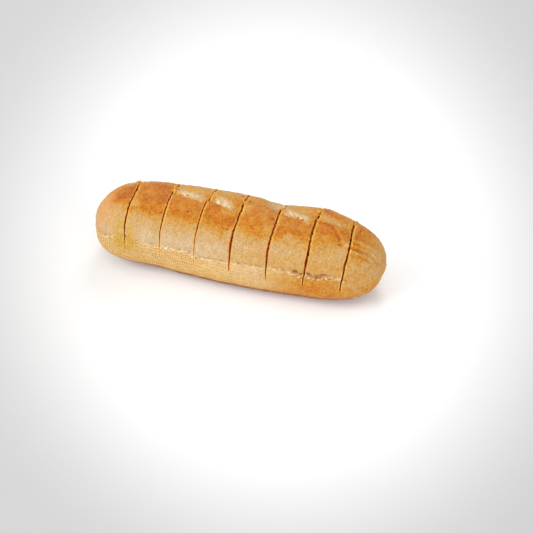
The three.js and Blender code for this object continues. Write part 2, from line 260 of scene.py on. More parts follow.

# Patches of the crust that are browner or paler: place, reach, change
PATCHES = (
    ((8, -1, 62), (7, 9, 6), -0.32),
    ((-4, -26, 54), (7, 8, 6), 0.2),
    ((31, 19, 57), (9, 8, 9), -0.15),
    # this patch and the next are painted highlights on dents
    ((-84, -14, 60), (4, 4, 4), -0.4),
    ((-77, -22, 57), (5, 4, 4), -0.25),
    ((-1, -16, 60), (5, 5, 5), 0.25),
    # a painted highlight on a dent
    ((50, -22, 58), (6, 5, 3), -0.5),
    ((30, -18, 60), (5, 4, 3), -0.4),
    ((-6, -7, 62), (7, 4, 5), -0.3),
    ((-60, -8, 62), (10, 7, 5), 0.2),
    ((-97, -4, 56), (9, 13, 8), 0.45),
    ((-71, 15, 58), (8, 8, 8), 0.3),
    ((121, -5, 42), (6, 9, 9), 0.15),
    ((78, -28, 46), (14, 14, 11), 0.12),
    ((-92, 9, 58.5), (5, 8, 5), 0.4),
    ((-110, 4, 52), (6, 7, 7), 0.2),
    ((-67, 3, 61), (7, 6, 5), 0.2),
    ((78, -8, 60), (14, 6, 5), 0.15),
    ((72, -35, 24), (12, 20, 9), 0.15),
    ((-107, -30, 37), (9, 12, 3), -0.15),
    ((96, -10, 57), (6, 8, 5), 0.1),
    ((-106, -12, 46), (8, 14, 9), -0.2),
)
PATCH_EDGE = (1.5, 0.25)  # shares of its reach between which a patch fades in

# --- Other marks on the crust, some of them painted light ---
PAINTED_SHEEN = ((-110, -10, 44), (10, 20, 14))  # place and reach of a painted pinkish sheen on the left end
BUTTER = ((-88, -32, 37), (10, 24, 12))  # where butter ran out of the first cut and soaked in
BUTTER_FULL = 1.8
BELOW_CREASE = (0.6, -2.6)  # heights above the crease between which the base begins
BASE_MARKED = (-30.0, 60.0)  # places along X between which the tray's marks fade
MARKS_LOST = 0.88  # and how far they do
SCORCHED_AND_CONTACT_SHADE = (13.0, 9.5)  # heights between which the crust darkens towards the bottom: partly browning where it lay on the tray, partly painted contact shade
CRACK_SHADE = ((-112, 0.7), (-60, 0.6), (0, 0.6), (57, 1.0), (80, 0.9))  # how dark the painted shade in the crack is along X
CRACK_MIDDLE = 0.45  # of its line of painted shade, as a share of the drop
CRACK_WIDEST = 1.3  # the gape where the painted shade is darkest
FLOUR, FLOUR_REACH, FLOUR_LEAST, FLOUR_RAGGED = 1.3, 1.3, 0.25, 2.6  # on the crease's lower side
# How far the pale rim of a cut reaches: partly exposed crumb, partly a painted highlight, which makes it
# wider on the right rims, which face the key light, and more so on top
RIM_CRUMB_AND_HIGHLIGHT = SimpleNamespace(left=0.5, right=0.7, right_on_top=1.1, top_from=HEIGHT * 0.7)
RIM_PALE_FADE, RIM_PALE_FLOOR = (1.6, 0.5), (-1.0, 3.0)  # shares of it, and heights above the floor

# --- Lattice ---
CRUST, CRUMB = 0, 1  # material slots of the mesh
AROUND = 288  # points round a full ring
ANGLE_SAMPLES, END_SAMPLES = 3601, 2000
UNDERNEATH = 0.4  # how dense the points are on the flat that the loaf rests on
FLAT_HALF, FLAT_HEIGHT = 20.0, 0.5
RING_STEP = 0.97  # between rings
RIM_STEPS = (0.0, 0.4, 0.95)  # the first rings beside a cut
WIDEN_REACH = 2.5  # of the rings that a cut pushes aside
RAGGED_REACH = 0.8  # and of those that its ragged edge moves
# Rings shorter than a share of the usual keep one point in so many
THINNING = ((0.16, 8), (0.3, 4), (0.58, 2))
# Rows of a cut's wall, as shares of the way out
WALL_ROWS = (0.985, 0.965, 0.94, 0.9, 0.82, 0.7, 0.5, 0.25)
WALL_HALVINGS = (4, 6)  # rows with half the points of the row outside them
WALL_CRUMB, WALL_CRUMB_SIZE = 0.5, 3.2  # how far the crumb stands out of a wall, in half widths of the cut
CRUMB_FULL = 2.0  # depth at which it stands out fully
RIM_FADE = 1.6  # depth over which a wall leaves the shape of its rim
WALL_CENTRE = 0.35  # height of the point that the rows close in on, as a share of the wall's height
DEEP = 20.0  # how deep under the crust that point counts as
FLOOR_STEP, FLOOR_UNEVEN = 1.6, (0.5, 8.0)  # between points across a cut's floor, and how uneven it is
FLOOR_FEWEST, WALL_MULTIPLE = 8, 16  # steps across a floor, and what those round a wall are a multiple of
SMOOTH_UP_TO = np.radians(55)  # the angle between faces that still looks smooth

# --- Camera ---
CAMERA_PLACE = (181.3, -545.9, 498.75)
CAMERA_YAW, CAMERA_PITCH = np.radians(16.05), np.radians(41.1)
LENS, SENSOR = 60.0, 36.0


# --- Noise ---
def gradient(cell, seed):
    """A pseudo-random direction for each whole-number cell."""
    mask = np.uint64(0xFFFFFFFF)
    c = cell.astype(np.uint64)
    h = c[..., 0] * np.uint64(73856093) ^ c[..., 1] * np.uint64(19349663) ^ c[..., 2] * np.uint64(83492791)
    h = (h ^ np.uint64(seed * 2654435761)) & mask
    h = ((h ^ h >> np.uint64(15)) * np.uint64(2246822519)) & mask
    h = ((h ^ h >> np.uint64(13)) * np.uint64(3266489917)) & mask
    h = h ^ h >> np.uint64(16)
    bits = np.stack([h >> np.uint64(shift) & np.uint64(1023) for shift in (0, 10, 20)], -1)
    return bits.astype(float) / 511.5 - 1


def noise(points, size, seed=0):
    """Smooth noise from about -1 to 1, with features about size across. size may differ along X, Y and Z."""
    q = np.asarray(points, float) / np.asarray(size, float)
    cell = np.floor(q).astype(np.int64)
    f = q - cell
    fade = f**3 * (f * (f * 6 - 15) + 10)
    total = np.zeros(q.shape[:-1])
    for corner in np.ndindex(2, 2, 2):
        offset = np.array(corner)
        weight = np.where(offset == 1, fade, 1 - fade).prod(-1)
        total += weight * ((f - offset) * gradient(cell + offset, seed)).sum(-1)
    return 1.5 * total


def rough(points, size, seed, octaves=3):
    """Noise with finer and finer octaves."""
    return sum(noise(points, np.asarray(size, float) / 2**i, seed + 31 * i) / 2**i for i in range(octaves))


def bell(distance, reach):
    return np.exp(-((distance / reach) ** 2))


def smooth_step(low, high, value):
    u = np.clip((value - low) / (high - low), 0, 1)
    return u * u * (3 - 2 * u)


def power(value, exponent):
    return np.sign(value) * np.abs(value) ** exponent


def length(vectors):
    return np.linalg.norm(vectors, axis=-1)


def interpolate(stops, at):
    """The value at each place, between stops of (place, value)."""
    places, values = zip(*stops)
    return np.interp(at, places, values)


# --- Shape of the loaf ---
def section(x):
    """The levels and half width of the section at x."""
    along = 2 * x / LENGTH

    def fullness(kind):
        left, right = BLUNTNESS[kind]
        return np.sqrt(np.clip(1 - np.abs(along) ** np.where(x < 0, left, right), 0, None))

    top = NOSE_HEIGHT + (HEIGHT - NOSE_HEIGHT) * fullness("top")
    base = NOSE_HEIGHT - (NOSE_HEIGHT + SINK) * fullness("base")
    return SimpleNamespace(
        top=top,
        base=base,
        widest=base + (top - base) * WIDEST,
        half_width=WIDTH / 2 * (1 + TAPER * along) * fullness("plan"),
        centre_y=BOW * (1 / 3 - along**2),
    )


def section_point(s, angle):
    """(y, z) of the section at an angle: -90 degrees at its base line, 0 in front, 90 on top, 180 behind."""
    up = np.sin(angle) >= 0
    exponent = 2 / np.where(up, DOME, BELLY)
    y = s.centre_y - s.half_width * power(np.cos(angle), exponent)
    z = s.widest + np.where(up, s.top - s.widest, s.widest - s.base) * power(np.sin(angle), exponent)
    return y, z


def cut_x(cut, y, z):
    """Where the middle of a cut is along X."""
    lean = cut.lean * (z - cut.floor) / (CUT_TOP - cut.floor)
    across = WAVER_ACROSS[0] * np.sin(y / WAVER_ACROSS[1] + cut.x)
    down = WAVER_DOWN[0] * np.sin(z / WAVER_DOWN[1] + y / WAVER_ACROSS[1])
    return cut.x + lean - y * np.tan(cut.turn) + across + down * smooth_step(CUT_UPPER, CUT_MIDDLE, z)


def cut_half_width(cut, y, z, side):
    """Half the width of a cut on one side of its middle, and how ragged the knife left its edge there."""
    top, middle, bottom = cut.widths
    half = interpolate(((cut.floor, bottom / 2), (CUT_MIDDLE, middle / 2), (CUT_UPPER, top / 2)), z)
    other_side = 50.0 * side  # far enough away for noise of its own
    at = np.stack([np.full_like(y, cut.x + other_side), y, z], -1)
    half = half * (1 + CUT_UNEVEN * noise(at, CUT_UNEVEN_SIZE, seed=3))
    ragged = half * interpolate(RAGGED, z) * rough(at, RAGGED_SIZE, seed=5, octaves=2)
    return half, np.maximum(ragged, NARROWEST - half)


def crease_parts(p, s):
    """How far each point lies above its crease, how torn that is, and whether it is the front one."""
    x, y, z = p[..., 0], p[..., 1], p[..., 2]
    front = y < s.centre_y
    level = np.where(front, interpolate(CREASE_FRONT, x), interpolate(CREASE_BACK, x))
    line = np.stack([x, np.where(front, 0, 90.0), np.zeros_like(x)], -1)
    wander = CREASE_WANDER * rough(line, CREASE_WANDER_SIZE, seed=11)
    return z - level - wander, interpolate(CREASE_TORN, x), front


def crease_gape(p):
    """How wide a crease gapes at each point, and how far its ragged lower side lies below it."""
    gape = interpolate(CREASE_GAPE, p[..., 0])
    uneven = GAPE_UNEVEN * rough(p, GAPE_UNEVEN_SIZE, seed=21, octaves=2)
    return gape + uneven, DROP + DROP_GAPING * np.maximum(gape - DROP_GAPE, 0)


def crease_shreds(p):
    """How ragged the lower side of a crease is at each point."""
    return rough(p, SHRED_SIZE, seed=23, octaves=2)


def crease_relief(p, s):
    above, torn, front = crease_parts(p, s)
    depth, lip = np.where(front, *CREASE_DEPTH), np.where(front, *CREASE_LIP)
    gape, drop = crease_gape(p)
    crack = CRACK_DEPTH * depth * np.clip(gape, 0, GAPE_MOST)
    crack = crack * bell(above, np.where(above > 0, CRACK_ABOVE, drop))
    shreds, ledge = (
        rise * bell(above + drop + below, reach) for rise, below, reach in (SHREDS, LEDGE)
    )
    bulge = lip * bell(above - CREASE_LIP_ABOVE, CREASE_LIP_REACH)
    return np.minimum(torn, 1) * bulge + torn * (shreds * crease_shreds(p) + ledge - crack)


def slash_parts(p):
    """For each slash: how far behind it each point is, how strong it is there, and its sizes."""
    x, y = p[..., 0], p[..., 1]
    for index, (start, end, bow, depth, lip, behind) in enumerate(SLASHES):
        along = (x - start[0]) / (end[0] - start[0])
        middle = start[1] + (end[1] - start[1]) * along + bow * 4 * along * (1 - along)
        wander = SLASH_WANDER * noise(np.stack([x, 0 * x, 0 * x], -1), SLASH_WANDER_SIZE, seed=40 + index)
        strength = np.sin(np.pi * np.clip(along, 0, 1)) ** SLASH_FULLNESS * ((along > 0) & (along < 1))
        yield y - middle - wander, strength, depth, lip, behind


def streaks(p):
    """Marks of stretched dough, which slant across the slashes."""
    turn = np.array(Matrix.Rotation(np.radians(STREAK_TURN), 3, "Z"))
    return rough(p @ turn, STREAK_SIZE, seed=27, octaves=2)


def slash_relief(p, s):
    relief = np.zeros(p.shape[:-1])
    stretched = -STREAK_DEPTH * streaks(p)
    for across, strength, depth, lip, behind in slash_parts(p):
        reach = np.where(across < SLASH_STEP_OFFSET, SLASH_STEP_REACH, behind)
        groove = bell(across - SLASH_STEP_OFFSET, reach)
        relief += strength * lip * bell(across - SLASH_LIP_OFFSET, SLASH_LIP_REACH)
        relief += strength * groove * (stretched - depth)
    return np.where(p[..., 2] < s.widest, 0, relief)


def fold_parts(p):
    """For each fold: each point's distance from it, and how far above the fold the point lies."""
    for points, depth, ridge in FOLDS:
        points = np.array(points, float)
        nearest, above = np.full(p.shape[:-1], np.inf), np.zeros(p.shape[:-1])
        for start, end in zip(points, points[1:]):
            run = end - start
            share = np.clip(((p - start) @ run) / (run @ run), 0, 1)
            away = p - start - share[..., None] * run
            distance = length(away)
            above = np.where(distance < nearest, away[..., 1] + away[..., 2], above)
            nearest = np.minimum(distance, nearest)
        yield nearest, above, depth, ridge


def fold_relief(p):
    relief = np.zeros(p.shape[:-1])
    broken = 1 + FOLD_UNEVEN * noise(p, FOLD_UNEVEN_SIZE, seed=35)
    wandering = p + FOLD_WANDER * noise(p, FOLD_WANDER_SIZE, seed=37)[..., None]
    for distance, above, depth, ridge in fold_parts(wandering):
        relief -= FOLD_SHARPNESS * depth * broken * bell(distance, FOLD_REACH)
        raised = bell(distance - RIDGE_OFFSET * FOLD_REACH, RIDGE_REACH * FOLD_REACH)
        relief += ridge * broken * raised * (above > 0)
    return relief


def dent_relief(p):
    relief = np.zeros(p.shape[:-1])
    for place in DENTS:
        away = p - np.array(place, float)
        along = away @ np.array(DENT_SLANT)
        across = np.sqrt(np.maximum(0, (away**2).sum(-1) - along**2))
        ring = bell(along, DENT_RING_ALONG * DENT_ALONG)
        ring = ring * bell(across - DENT_RING_OFFSET * DENT_ACROSS, DENT_ACROSS)
        relief -= DENT_DEPTH * bell(along, DENT_ALONG) * bell(across, DENT_ACROSS)
        relief += DENT_RING_RISE * DENT_DEPTH * ring
    return relief


def cut_relief(p):
    x, y, z = p[..., 0], p[..., 1], p[..., 2]
    on_top = smooth_step(TOP_FROM, TOP_FULL, z)
    curl = 1 + RIM_UNEVEN * noise(p, RIM_UNEVEN_SIZE, seed=33)
    relief = np.zeros(p.shape[:-1])
    for cut in CUTS:
        distance = np.abs(x - cut_x(cut, y, z))
        above_floor = smooth_step(*PINCH_HEIGHTS, z - cut.floor)
        relief -= PINCH_DEPTH * above_floor * bell(distance, PINCH_REACH)
        relief += RIM_HEIGHT * curl * on_top * bell(distance - RIM_OFFSET, RIM_REACH)
    return relief


def swell_relief(p):
    x, y, z = p[..., 0], p[..., 1], p[..., 2]
    along = np.sin(x / LUMPS.pitch + y / LUMPS.slant)
    relief = LUMPS.rise * along * np.sin(y / LUMPS.across - z / LUMPS.pitch + LUMPS.phase)
    for place, reach, rise in SWELLS:
        relief += rise * bell(length(p - np.array(place, float)), reach)
    return relief


def skin_relief(p):
    """Unevenness of the whole crust: soft lumps, fine wrinkles, shallow pits and blisters."""
    relief = np.zeros(p.shape[:-1])
    for size, rise, seed, octaves in SKIN:
        relief += rise * rough(p, size, seed, octaves)
    for size, limits, rise, seed in SKIN_SPOTS:
        relief += rise * smooth_step(*limits, noise(p, size, seed))
    return relief


# --- The crust's lattice ---
def meridian_places(power_of_end, edge):
    """Places between a cut's edge and the tip, a ring step apart along the end's own outline."""
    turn = np.linspace(0, np.arccos((edge / (LENGTH / 2)) ** (power_of_end / 2)), END_SAMPLES)
    x = LENGTH / 2 * np.cos(turn) ** (2 / power_of_end)
    w = WIDTH / 2 * np.sin(turn)
    run = np.concatenate([[0], np.cumsum(np.hypot(np.diff(x), np.diff(w)))])
    count = int(run[-1] / RING_STEP)
    return np.interp(np.linspace(0, run[-1], count + 1)[:-1], run, x)  # from the tip inwards


def ring_places():
    """Where the rings are along X at the height of the cuts' floors, and which ring begins each cut."""
    steps = np.array(RIM_STEPS)
    left = -meridian_places(BLUNTNESS["plan"][0], -CUTS[0].x + RIM_STEPS[-1] + RING_STEP)
    right = meridian_places(BLUNTNESS["plan"][1], CUTS[-1].x + RIM_STEPS[-1] + RING_STEP)
    places = [left, CUTS[0].x - steps[::-1]]
    first_of_cut = [len(left) + len(steps) - 1]
    for before, after in zip(CUTS, CUTS[1:]):
        low, high = before.x + steps[-1], after.x - steps[-1]
        count = int(round((high - low) / RING_STEP))
        places += [before.x + steps, np.linspace(low, high, count + 1)[1:-1], after.x - steps[::-1]]
        first_of_cut.append(sum(len(x) for x in places) - 1)
    places += [CUTS[-1].x + steps, right[::-1]]
    return np.concatenate(places), first_of_cut


def ring_angles(places):
    """For each ring, the angles of its points: evenly spaced round the section, but sparse underneath."""
    angle = np.linspace(-np.pi / 2, 3 * np.pi / 2, ANGLE_SAMPLES)
    s = section(places[:, None])
    y, z = section_point(s, angle[None])
    step = np.hypot(np.diff(y), np.diff(z))
    flat = (z[:, 1:] < FLAT_HEIGHT) & (np.abs(y[:, 1:] - s.centre_y) < FLAT_HALF)
    run = np.cumsum(np.where(flat, UNDERNEATH, 1) * (step + 1e-9), axis=1)
    run = np.concatenate([np.zeros((len(places), 1)), run], axis=1) / run[:, -1:]
    share = np.arange(AROUND) / AROUND
    return np.array([np.interp(share, r, angle) for r in run])


def lean_and_widen(places, y, z):
    """How far each point moves along X because of the lean, turn and width of the cuts beside it."""
    shift = np.zeros_like(y)
    stops = np.array([-LENGTH / 2, *(cut.x for cut in CUTS), LENGTH / 2])
    for index, cut in enumerate(CUTS):
        before, at, after = stops[index : index + 3]
        share = np.interp(places, [before, at, after], [0, 1, 0])[:, None]
        shift += share * (cut_x(cut, y, z) - cut.x)
    for index, cut in enumerate(CUTS):
        away = np.abs(places - cut.x)[:, None]
        for side in (-1, 1):
            mine = side_rings(places, index, side)[:, None]
            half, ragged = cut_half_width(cut, y, z, side)
            shift += side * mine * (half * bell(away, WIDEN_REACH) + ragged * bell(away, RAGGED_REACH))
    return shift


def side_rings(places, index, side):
    """Which rings lie on one side of a cut, up to the next cut. Two rings share the cut's own place."""
    first = FIRST_OF_CUT[index]
    number = np.arange(len(places))
    return (number <= first) if side < 0 else (number > first)


PLACES, FIRST_OF_CUT = ring_places()


def crust_lattice():
    """The crust's points, (ring, point, 3), its outward normals, and the sections that the points are in."""
    angle = ring_angles(PLACES)
    s = section(PLACES[:, None] + 0 * angle)
    y, z = section_point(s, angle)
    x = PLACES[:, None] + lean_and_widen(PLACES, y, z)
    x = np.clip(x, -LENGTH / 2, LENGTH / 2)
    s = section(x)
    y, z = section_point(s, angle)
    p = np.stack([x, y, z], -1)
    inner = np.stack([np.clip(x, -SPINE_HALF, SPINE_HALF), s.centre_y, s.widest], -1)
    outwards = p - inner
    outwards /= length(outwards)[..., None]
    relief = crease_relief(p, s) + slash_relief(p, s) + cut_relief(p) + swell_relief(p)
    p = p + outwards * relief[..., None]
    normal = lattice_normals(p, outwards)
    p = p + normal * (skin_relief(p) + fold_relief(p) + dent_relief(p))[..., None]
    p = shape_rims(p, lattice_normals(p, outwards))
    p[..., 2] = np.maximum(0, p[..., 2])
    return p, lattice_normals(p, outwards), section(p[..., 0])


def shape_rims(p, normal):
    """Wears down the rims of the cuts, and raises those that the knife lifted."""
    p = p.copy()
    for index, first in enumerate(FIRST_OF_CUT):
        for side, wear in zip((-1, 1), BEVEL):
            start = first if side < 0 else first + 1
            for step, share in enumerate(RIM_SHARES):
                ring = start + side * step
                y, z = p[ring, :, 1], p[ring, :, 2]
                rise = -wear * smooth_step(CUTS[index].floor, BEVEL_FULL, z)
                for cut, lip_side, place, reach, height in LIPS:
                    if (cut, lip_side) == (index, side):
                        curl = 1 + LIP_UNEVEN * noise(p[ring], LIP_UNEVEN_SIZE, seed=43 + index)
                        rise = rise + height * curl * bell(y - place, reach) * (z > TOP_FROM)
                p[ring] += normal[ring] * (share * rise)[:, None]
    return p


def lattice_normals(p, outwards):
    along = np.gradient(p, axis=0)
    around = np.roll(p, -1, axis=1) - np.roll(p, 1, axis=1)
    n = np.cross(along, around)
    size = np.linalg.norm(n, axis=-1, keepdims=True)
    n = np.where(size > 1e-7, n / np.maximum(size, 1e-12), outwards)
    return np.where((n * outwards).sum(-1, keepdims=True) < 0, outwards, n)


# --- Attributes of the crust ---
ATTRIBUTES = ("bake", "rim", "below", "flour", "crack", "butter", "painted_sheen", "scorched", "around", "depth")


def spot(p, place, reach):
    """How near each point is to a place, from 0 far away to 1."""
    return bell(length((p - np.array(place)) / np.array(reach)), 1)


def browning(p, s, below):
    """How browned each point of the crust is, with painted contact shade at the base, painted shade in the
    folds and painted highlights on their ridges and on dents.
    """
    x, y = p[..., 0], p[..., 1]
    waver, size, seed = BROWN_WAVER
    z = p[..., 2] + waver * rough(p, size, seed, octaves=2)
    on_top = z > s.widest
    side = smooth_step(*BROWN_SIDES, x)
    brown = interpolate(BROWN_LEFT, z) * (1 - side) + interpolate(BROWN_RIGHT, z) * side
    brown -= interpolate(BACK_PALER, x) * smooth_step(*BACK, y - s.centre_y) * brown
    for profile, ends in ((BROWN_LEFT_END, LEFT_END), (BROWN_RIGHT_END, RIGHT_END)):
        share = smooth_step(0, 1, (x - ends[0]) / (ends[1] - ends[0]))
        brown += share * (interpolate(profile, z) - brown)
    # the base, darker towards the bottom: partly browning, partly painted contact shade
    side = smooth_step(*BASE_SIDES, x)
    base = interpolate(BASE_LEFT, z) * (1 - side) + interpolate(BASE_RIGHT, z) * side
    past_end = smooth_step(*RIGHT_END, x)
    brown += below * (1 - past_end) * (base - brown)
    waver, size, seeds = PATCH_WAVER
    wavering = p + waver * np.stack([rough(p, size, seed, octaves=2) for seed in seeds], -1)
    for place, reach, change in PATCHES:
        near = length((wavering - np.array(place)) / np.array(reach))
        brown += change * smooth_step(*PATCH_EDGE, near)
    for start, end, half, change in OPENED:
        along = (x - start[0]) / (end[0] - start[0])
        across = (wavering[..., 1] - start[1] - (end[1] - start[1]) * along) / half
        ends = smooth_step(0, OPENED_RUN_IN, along) * smooth_step(1, 1 - OPENED_RUN_IN, along)
        opened = ends * smooth_step(*OPENED_FRONT, across) * smooth_step(*OPENED_BEHIND, across)
        brown += change * opened * (1 + STREAK_PALE * streaks(p)) * on_top
    change, reach = SLASH_LIP_BROWN
    for across, strength, _, _, _ in slash_parts(p):
        brown += change * strength * on_top * bell(across - SLASH_LIP_OFFSET, reach)
    # Painted shade at the bottom of each fold, and a painted highlight on the ridge on its upper side
    fold_shade, fold_reach = FOLD_SHADE
    ridge_highlight, ridge_reach, ridge_offset = RIDGE_HIGHLIGHT
    for distance, above, _, _ in fold_parts(p):
        brown += fold_shade * bell(distance, fold_reach)
        brown += ridge_highlight * bell(distance - ridge_offset, ridge_reach) * (above > 0)
    return brown


def rim_crumb_and_highlight(p):
    """How much of each point is the pale edge of a cut: exposed crumb, and a painted highlight that makes it
    wider on its right side, which faces the key light, and on top.
    """
    x, y, z = p[..., 0], p[..., 1], p[..., 2]
    rim = np.zeros_like(x)
    on_top = smooth_step(RIM_CRUMB_AND_HIGHLIGHT.top_from, TOP_FULL, z)
    for cut in CUTS:
        right = x - cut_x(cut, y, z)
        half, ragged = cut_half_width(cut, y, z, 1)
        wide = np.where(right > 0, RIM_CRUMB_AND_HIGHLIGHT.right + RIM_CRUMB_AND_HIGHLIGHT.right_on_top * on_top, RIM_CRUMB_AND_HIGHLIGHT.left)
        edge = smooth_step(*RIM_PALE_FADE, (np.abs(right) - half - ragged) / wide)
        rim = np.maximum(rim, edge * smooth_step(*RIM_PALE_FLOOR, z - cut.floor))
    return rim


def crust_attributes(p, s):
    """What the crust's material needs to know at each point."""
    x, z = p[..., 0], p[..., 2]
    above, torn, _ = crease_parts(p, s)
    below = smooth_step(*BELOW_CREASE, above)
    gape, drop = crease_gape(p)
    ragged = np.clip(FLOUR_LEAST + FLOUR_RAGGED * crease_shreds(p), 0, 1)
    crack_shade = torn * bell(above + CRACK_MIDDLE * drop, drop / 2) * np.clip(gape, 0, CRACK_WIDEST)
    return {
        "bake": browning(p, s, below),
        # the pale rims of the cuts: partly exposed crumb, partly a painted highlight
        "rim": rim_crumb_and_highlight(p),
        "below": below * (1 - MARKS_LOST * smooth_step(*BASE_MARKED, x)),
        "flour": np.clip(FLOUR * torn * bell(above + drop, FLOUR_REACH) * ragged, 0, 1),
        # painted shade in the creases' cracks, darkest where they gape most
        "crack": np.clip(crack_shade, 0, 1) * interpolate(CRACK_SHADE, x),
        # darker towards the bottom: partly browning from the tray, partly painted contact shade
        "scorched": smooth_step(*SCORCHED_AND_CONTACT_SHADE, z),
        "butter": np.clip(BUTTER_FULL * spot(p, *BUTTER), 0, 1),
        # a painted pinkish sheen on the left end
        "painted_sheen": spot(p, *PAINTED_SHEEN),
        "around": np.cumsum(length(np.diff(p, axis=1, append=p[:, :1])), axis=1),
        "depth": np.zeros_like(x),
    }


# --- One closed mesh ---
# Corners of the faces between two rows, as (row, point), by how many steps of each row a face takes
STRIP_FACES = {
    (1, 1): (((0, 0), (1, 0), (1, 1), (0, 1)),),
    (2, 1): (((0, 0), (1, 0), (0, 1)), ((0, 1), (1, 0), (1, 1)), ((0, 1), (1, 1), (0, 2))),
    (1, 2): (((0, 0), (1, 0), (1, 1)), ((0, 0), (1, 1), (0, 1)), ((0, 1), (1, 1), (1, 2))),
}


class Shell:
    """Points, faces and attributes of a mesh, gathered strip by strip."""

    def __init__(self):
        self.points, self.values, self.count = [], [], 0
        self.corners, self.maps, self.sizes, self.slots = [], [], [], []

    def add_points(self, points, values):
        """Adds points, (n, 3), with attributes {name: (n,)}, and returns their numbers."""
        numbers = np.arange(self.count, self.count + len(points))
        self.points.append(points)
        self.values.append(values)
        self.count += len(points)
        return numbers

    def add_faces(self, corners, maps, slot):
        self.corners.append(corners.ravel())
        self.maps.append(maps.reshape(-1, 2))
        self.sizes.append(np.full(len(corners), corners.shape[1]))
        self.slots.append(np.full(len(corners), slot))

    def strip(self, *rows, slot):
        """Faces between two rows, (numbers, map places). One row may have half the other's steps."""
        counts = [len(numbers) - 1 for numbers, _ in rows]
        faces = min(counts)
        steps = [count // faces for count in counts]
        for kind in STRIP_FACES[tuple(steps)]:
            picked = [(*rows[row], np.arange(faces) * steps[row] + offset) for row, offset in kind]
            corners = np.stack([numbers[at] for numbers, _, at in picked], 1)
            maps = np.stack([places[at] for _, places, at in picked], 1)
            self.add_faces(corners, maps, slot)

    def fan(self, centre, centre_map, row, slot, before):
        """Triangles from a row to one point, which comes before the row or after it."""
        numbers, places = row
        middle = (np.full(len(numbers) - 1, centre), np.repeat([centre_map], len(numbers) - 1, 0))
        corners = [middle, (numbers[:-1], places[:-1]), (numbers[1:], places[1:])]
        if not before:
            corners = [corners[1], middle, corners[2]]
        self.add_faces(*(np.stack(part, 1) for part in zip(*corners)), slot)

    def mesh(self, name):
        points = np.concatenate(self.points)
        corners, sizes = np.concatenate(self.corners), np.concatenate(self.sizes)
        mesh = bpy.data.meshes.new(name)
        mesh.vertices.add(len(points))
        mesh.vertices.foreach_set("co", (points * METRES).astype(np.float32).ravel())
        mesh.loops.add(len(corners))
        mesh.loops.foreach_set("vertex_index", corners.astype(np.int32))
        mesh.polygons.add(len(sizes))
        starts = np.concatenate([[0], np.cumsum(sizes)[:-1]])
        mesh.polygons.foreach_set("loop_start", starts.astype(np.int32))
        mesh.polygons.foreach_set("loop_total", sizes.astype(np.int32))
        mesh.polygons.foreach_set("material_index", np.concatenate(self.slots).astype(np.int32))
        mesh.polygons.foreach_set("use_smooth", np.ones(len(sizes), bool))
        layer = mesh.uv_layers.new(name="OFBake")
        layer.uv.foreach_set("vector", np.concatenate(self.maps).astype(np.float32).ravel())
        for key in self.values[0]:
            values = np.concatenate([v[key] for v in self.values]).astype(np.float32)
            mesh.attributes.new(key, "FLOAT", "POINT").data.foreach_set("value", values)
        mesh.update()
        mesh.validate()
        return mesh


def closed(numbers, maps):
    """A ring's row with its first point again at the end."""
    return np.append(numbers, numbers[0]), maps


def coarseness(p):
    """How many lattice points each ring skips, so that its points don't crowd near the tips."""
    around = length(np.diff(p, axis=1, append=p[:, :1])).sum(1)
    share = around / np.median(around)
    level = np.select([share < limit for limit, _ in THINNING], [skip for _, skip in THINNING], 1)
    level[0] = level[1]
    level[-1] = level[-2]
    return level


# Where each sort of face lies on the mesh's map
CRUST_TILE = ((0.004, 0.30), (0.996, 0.996))
WALL_TILES_V = (0.008, 0.154)  # left walls, right walls
WALL_TILE_SIDE = 0.13
WALL_TILE_WIDE = 0.92 * 0.95  # of its share of the map
WALL_LOW, WALL_HIGH = 15.0, 70.0  # heights that a wall's tile covers
FLOOR_TILE_SHIFT = 0.002


def add_crust(shell, p, values):
    """The crust's faces. Returns the numbers of the points beside each cut, and their map places."""
    rings, around = p.shape[:2]
    run = np.concatenate([[0], np.cumsum(length(np.diff(p, axis=0)).mean(1))])
    (u0, v0), (u1, v1) = CRUST_TILE
    u = u0 + (u1 - u0) * run / run[-1]
    level = coarseness(p)
    rows = []
    for r in range(rings):
        at = np.arange(0, around, level[r])
        if r in (0, rings - 1):
            at = at[:1]
        numbers = shell.add_points(p[r, at], {k: v[r, at] for k, v in values.items()})
        count = around // level[r]
        v = v0 + (v1 - v0) * np.arange(count + 1) / count
        rows.append((numbers, np.stack([np.full(count + 1, u[r]), v], 1)))
    for r in range(rings - 1):
        if r in FIRST_OF_CUT:
            continue
        if r == 0:
            shell.fan(rows[0][0][0], (u[0], (v0 + v1) / 2), closed(*rows[1]), CRUST, before=True)
        elif r == rings - 2:
            shell.fan(rows[-1][0][0], (u[-1], (v0 + v1) / 2), closed(*rows[r]), CRUST, before=False)
        else:
            shell.strip(closed(*rows[r]), closed(*rows[r + 1]), slot=CRUST)
    return [(rows[r], rows[r + 1]) for r in FIRST_OF_CUT]


def nearest_height(z, height, start, end):
    """The number of the point from start to end whose height is nearest to this."""
    return start + int(np.argmin(np.abs(z[start:end] - height)))


def add_cut(shell, index, p, rows):
    """The two walls and the floor of a cut, and the crust that goes on under it."""
    cut = CUTS[index]
    ring = FIRST_OF_CUT[index]
    front = nearest_height(p[ring, :, 2], cut.floor, 0, AROUND // 2)
    back = nearest_height(p[ring, :, 2], cut.floor, AROUND // 2, AROUND)
    for start, end in ((0, front), (back, AROUND)):
        left, right = (tuple(part[start : end + 1] for part in closed(*row)) for row in rows)
        shell.strip(left, right, slot=CRUST)
    floor_count = max(FLOOR_FEWEST, int(round(abs(p[ring, back, 1] - p[ring, front, 1]) / FLOOR_STEP)))
    floor_count += -(back - front + floor_count) % WALL_MULTIPLE  # so that a wall's rows can be halved
    floors = []
    for side, row in zip((-1, 1), rows):
        floors.append(add_wall(shell, index, side, p, row, front, back, floor_count))
    shell.strip(floors[1], floors[0], slot=CRUMB)


def wall_values(depth):
    """Attributes of a wall's points, of which only the depth under the crust differs."""
    return {key: depth if key == "depth" else np.zeros(len(depth)) for key in ATTRIBUTES}


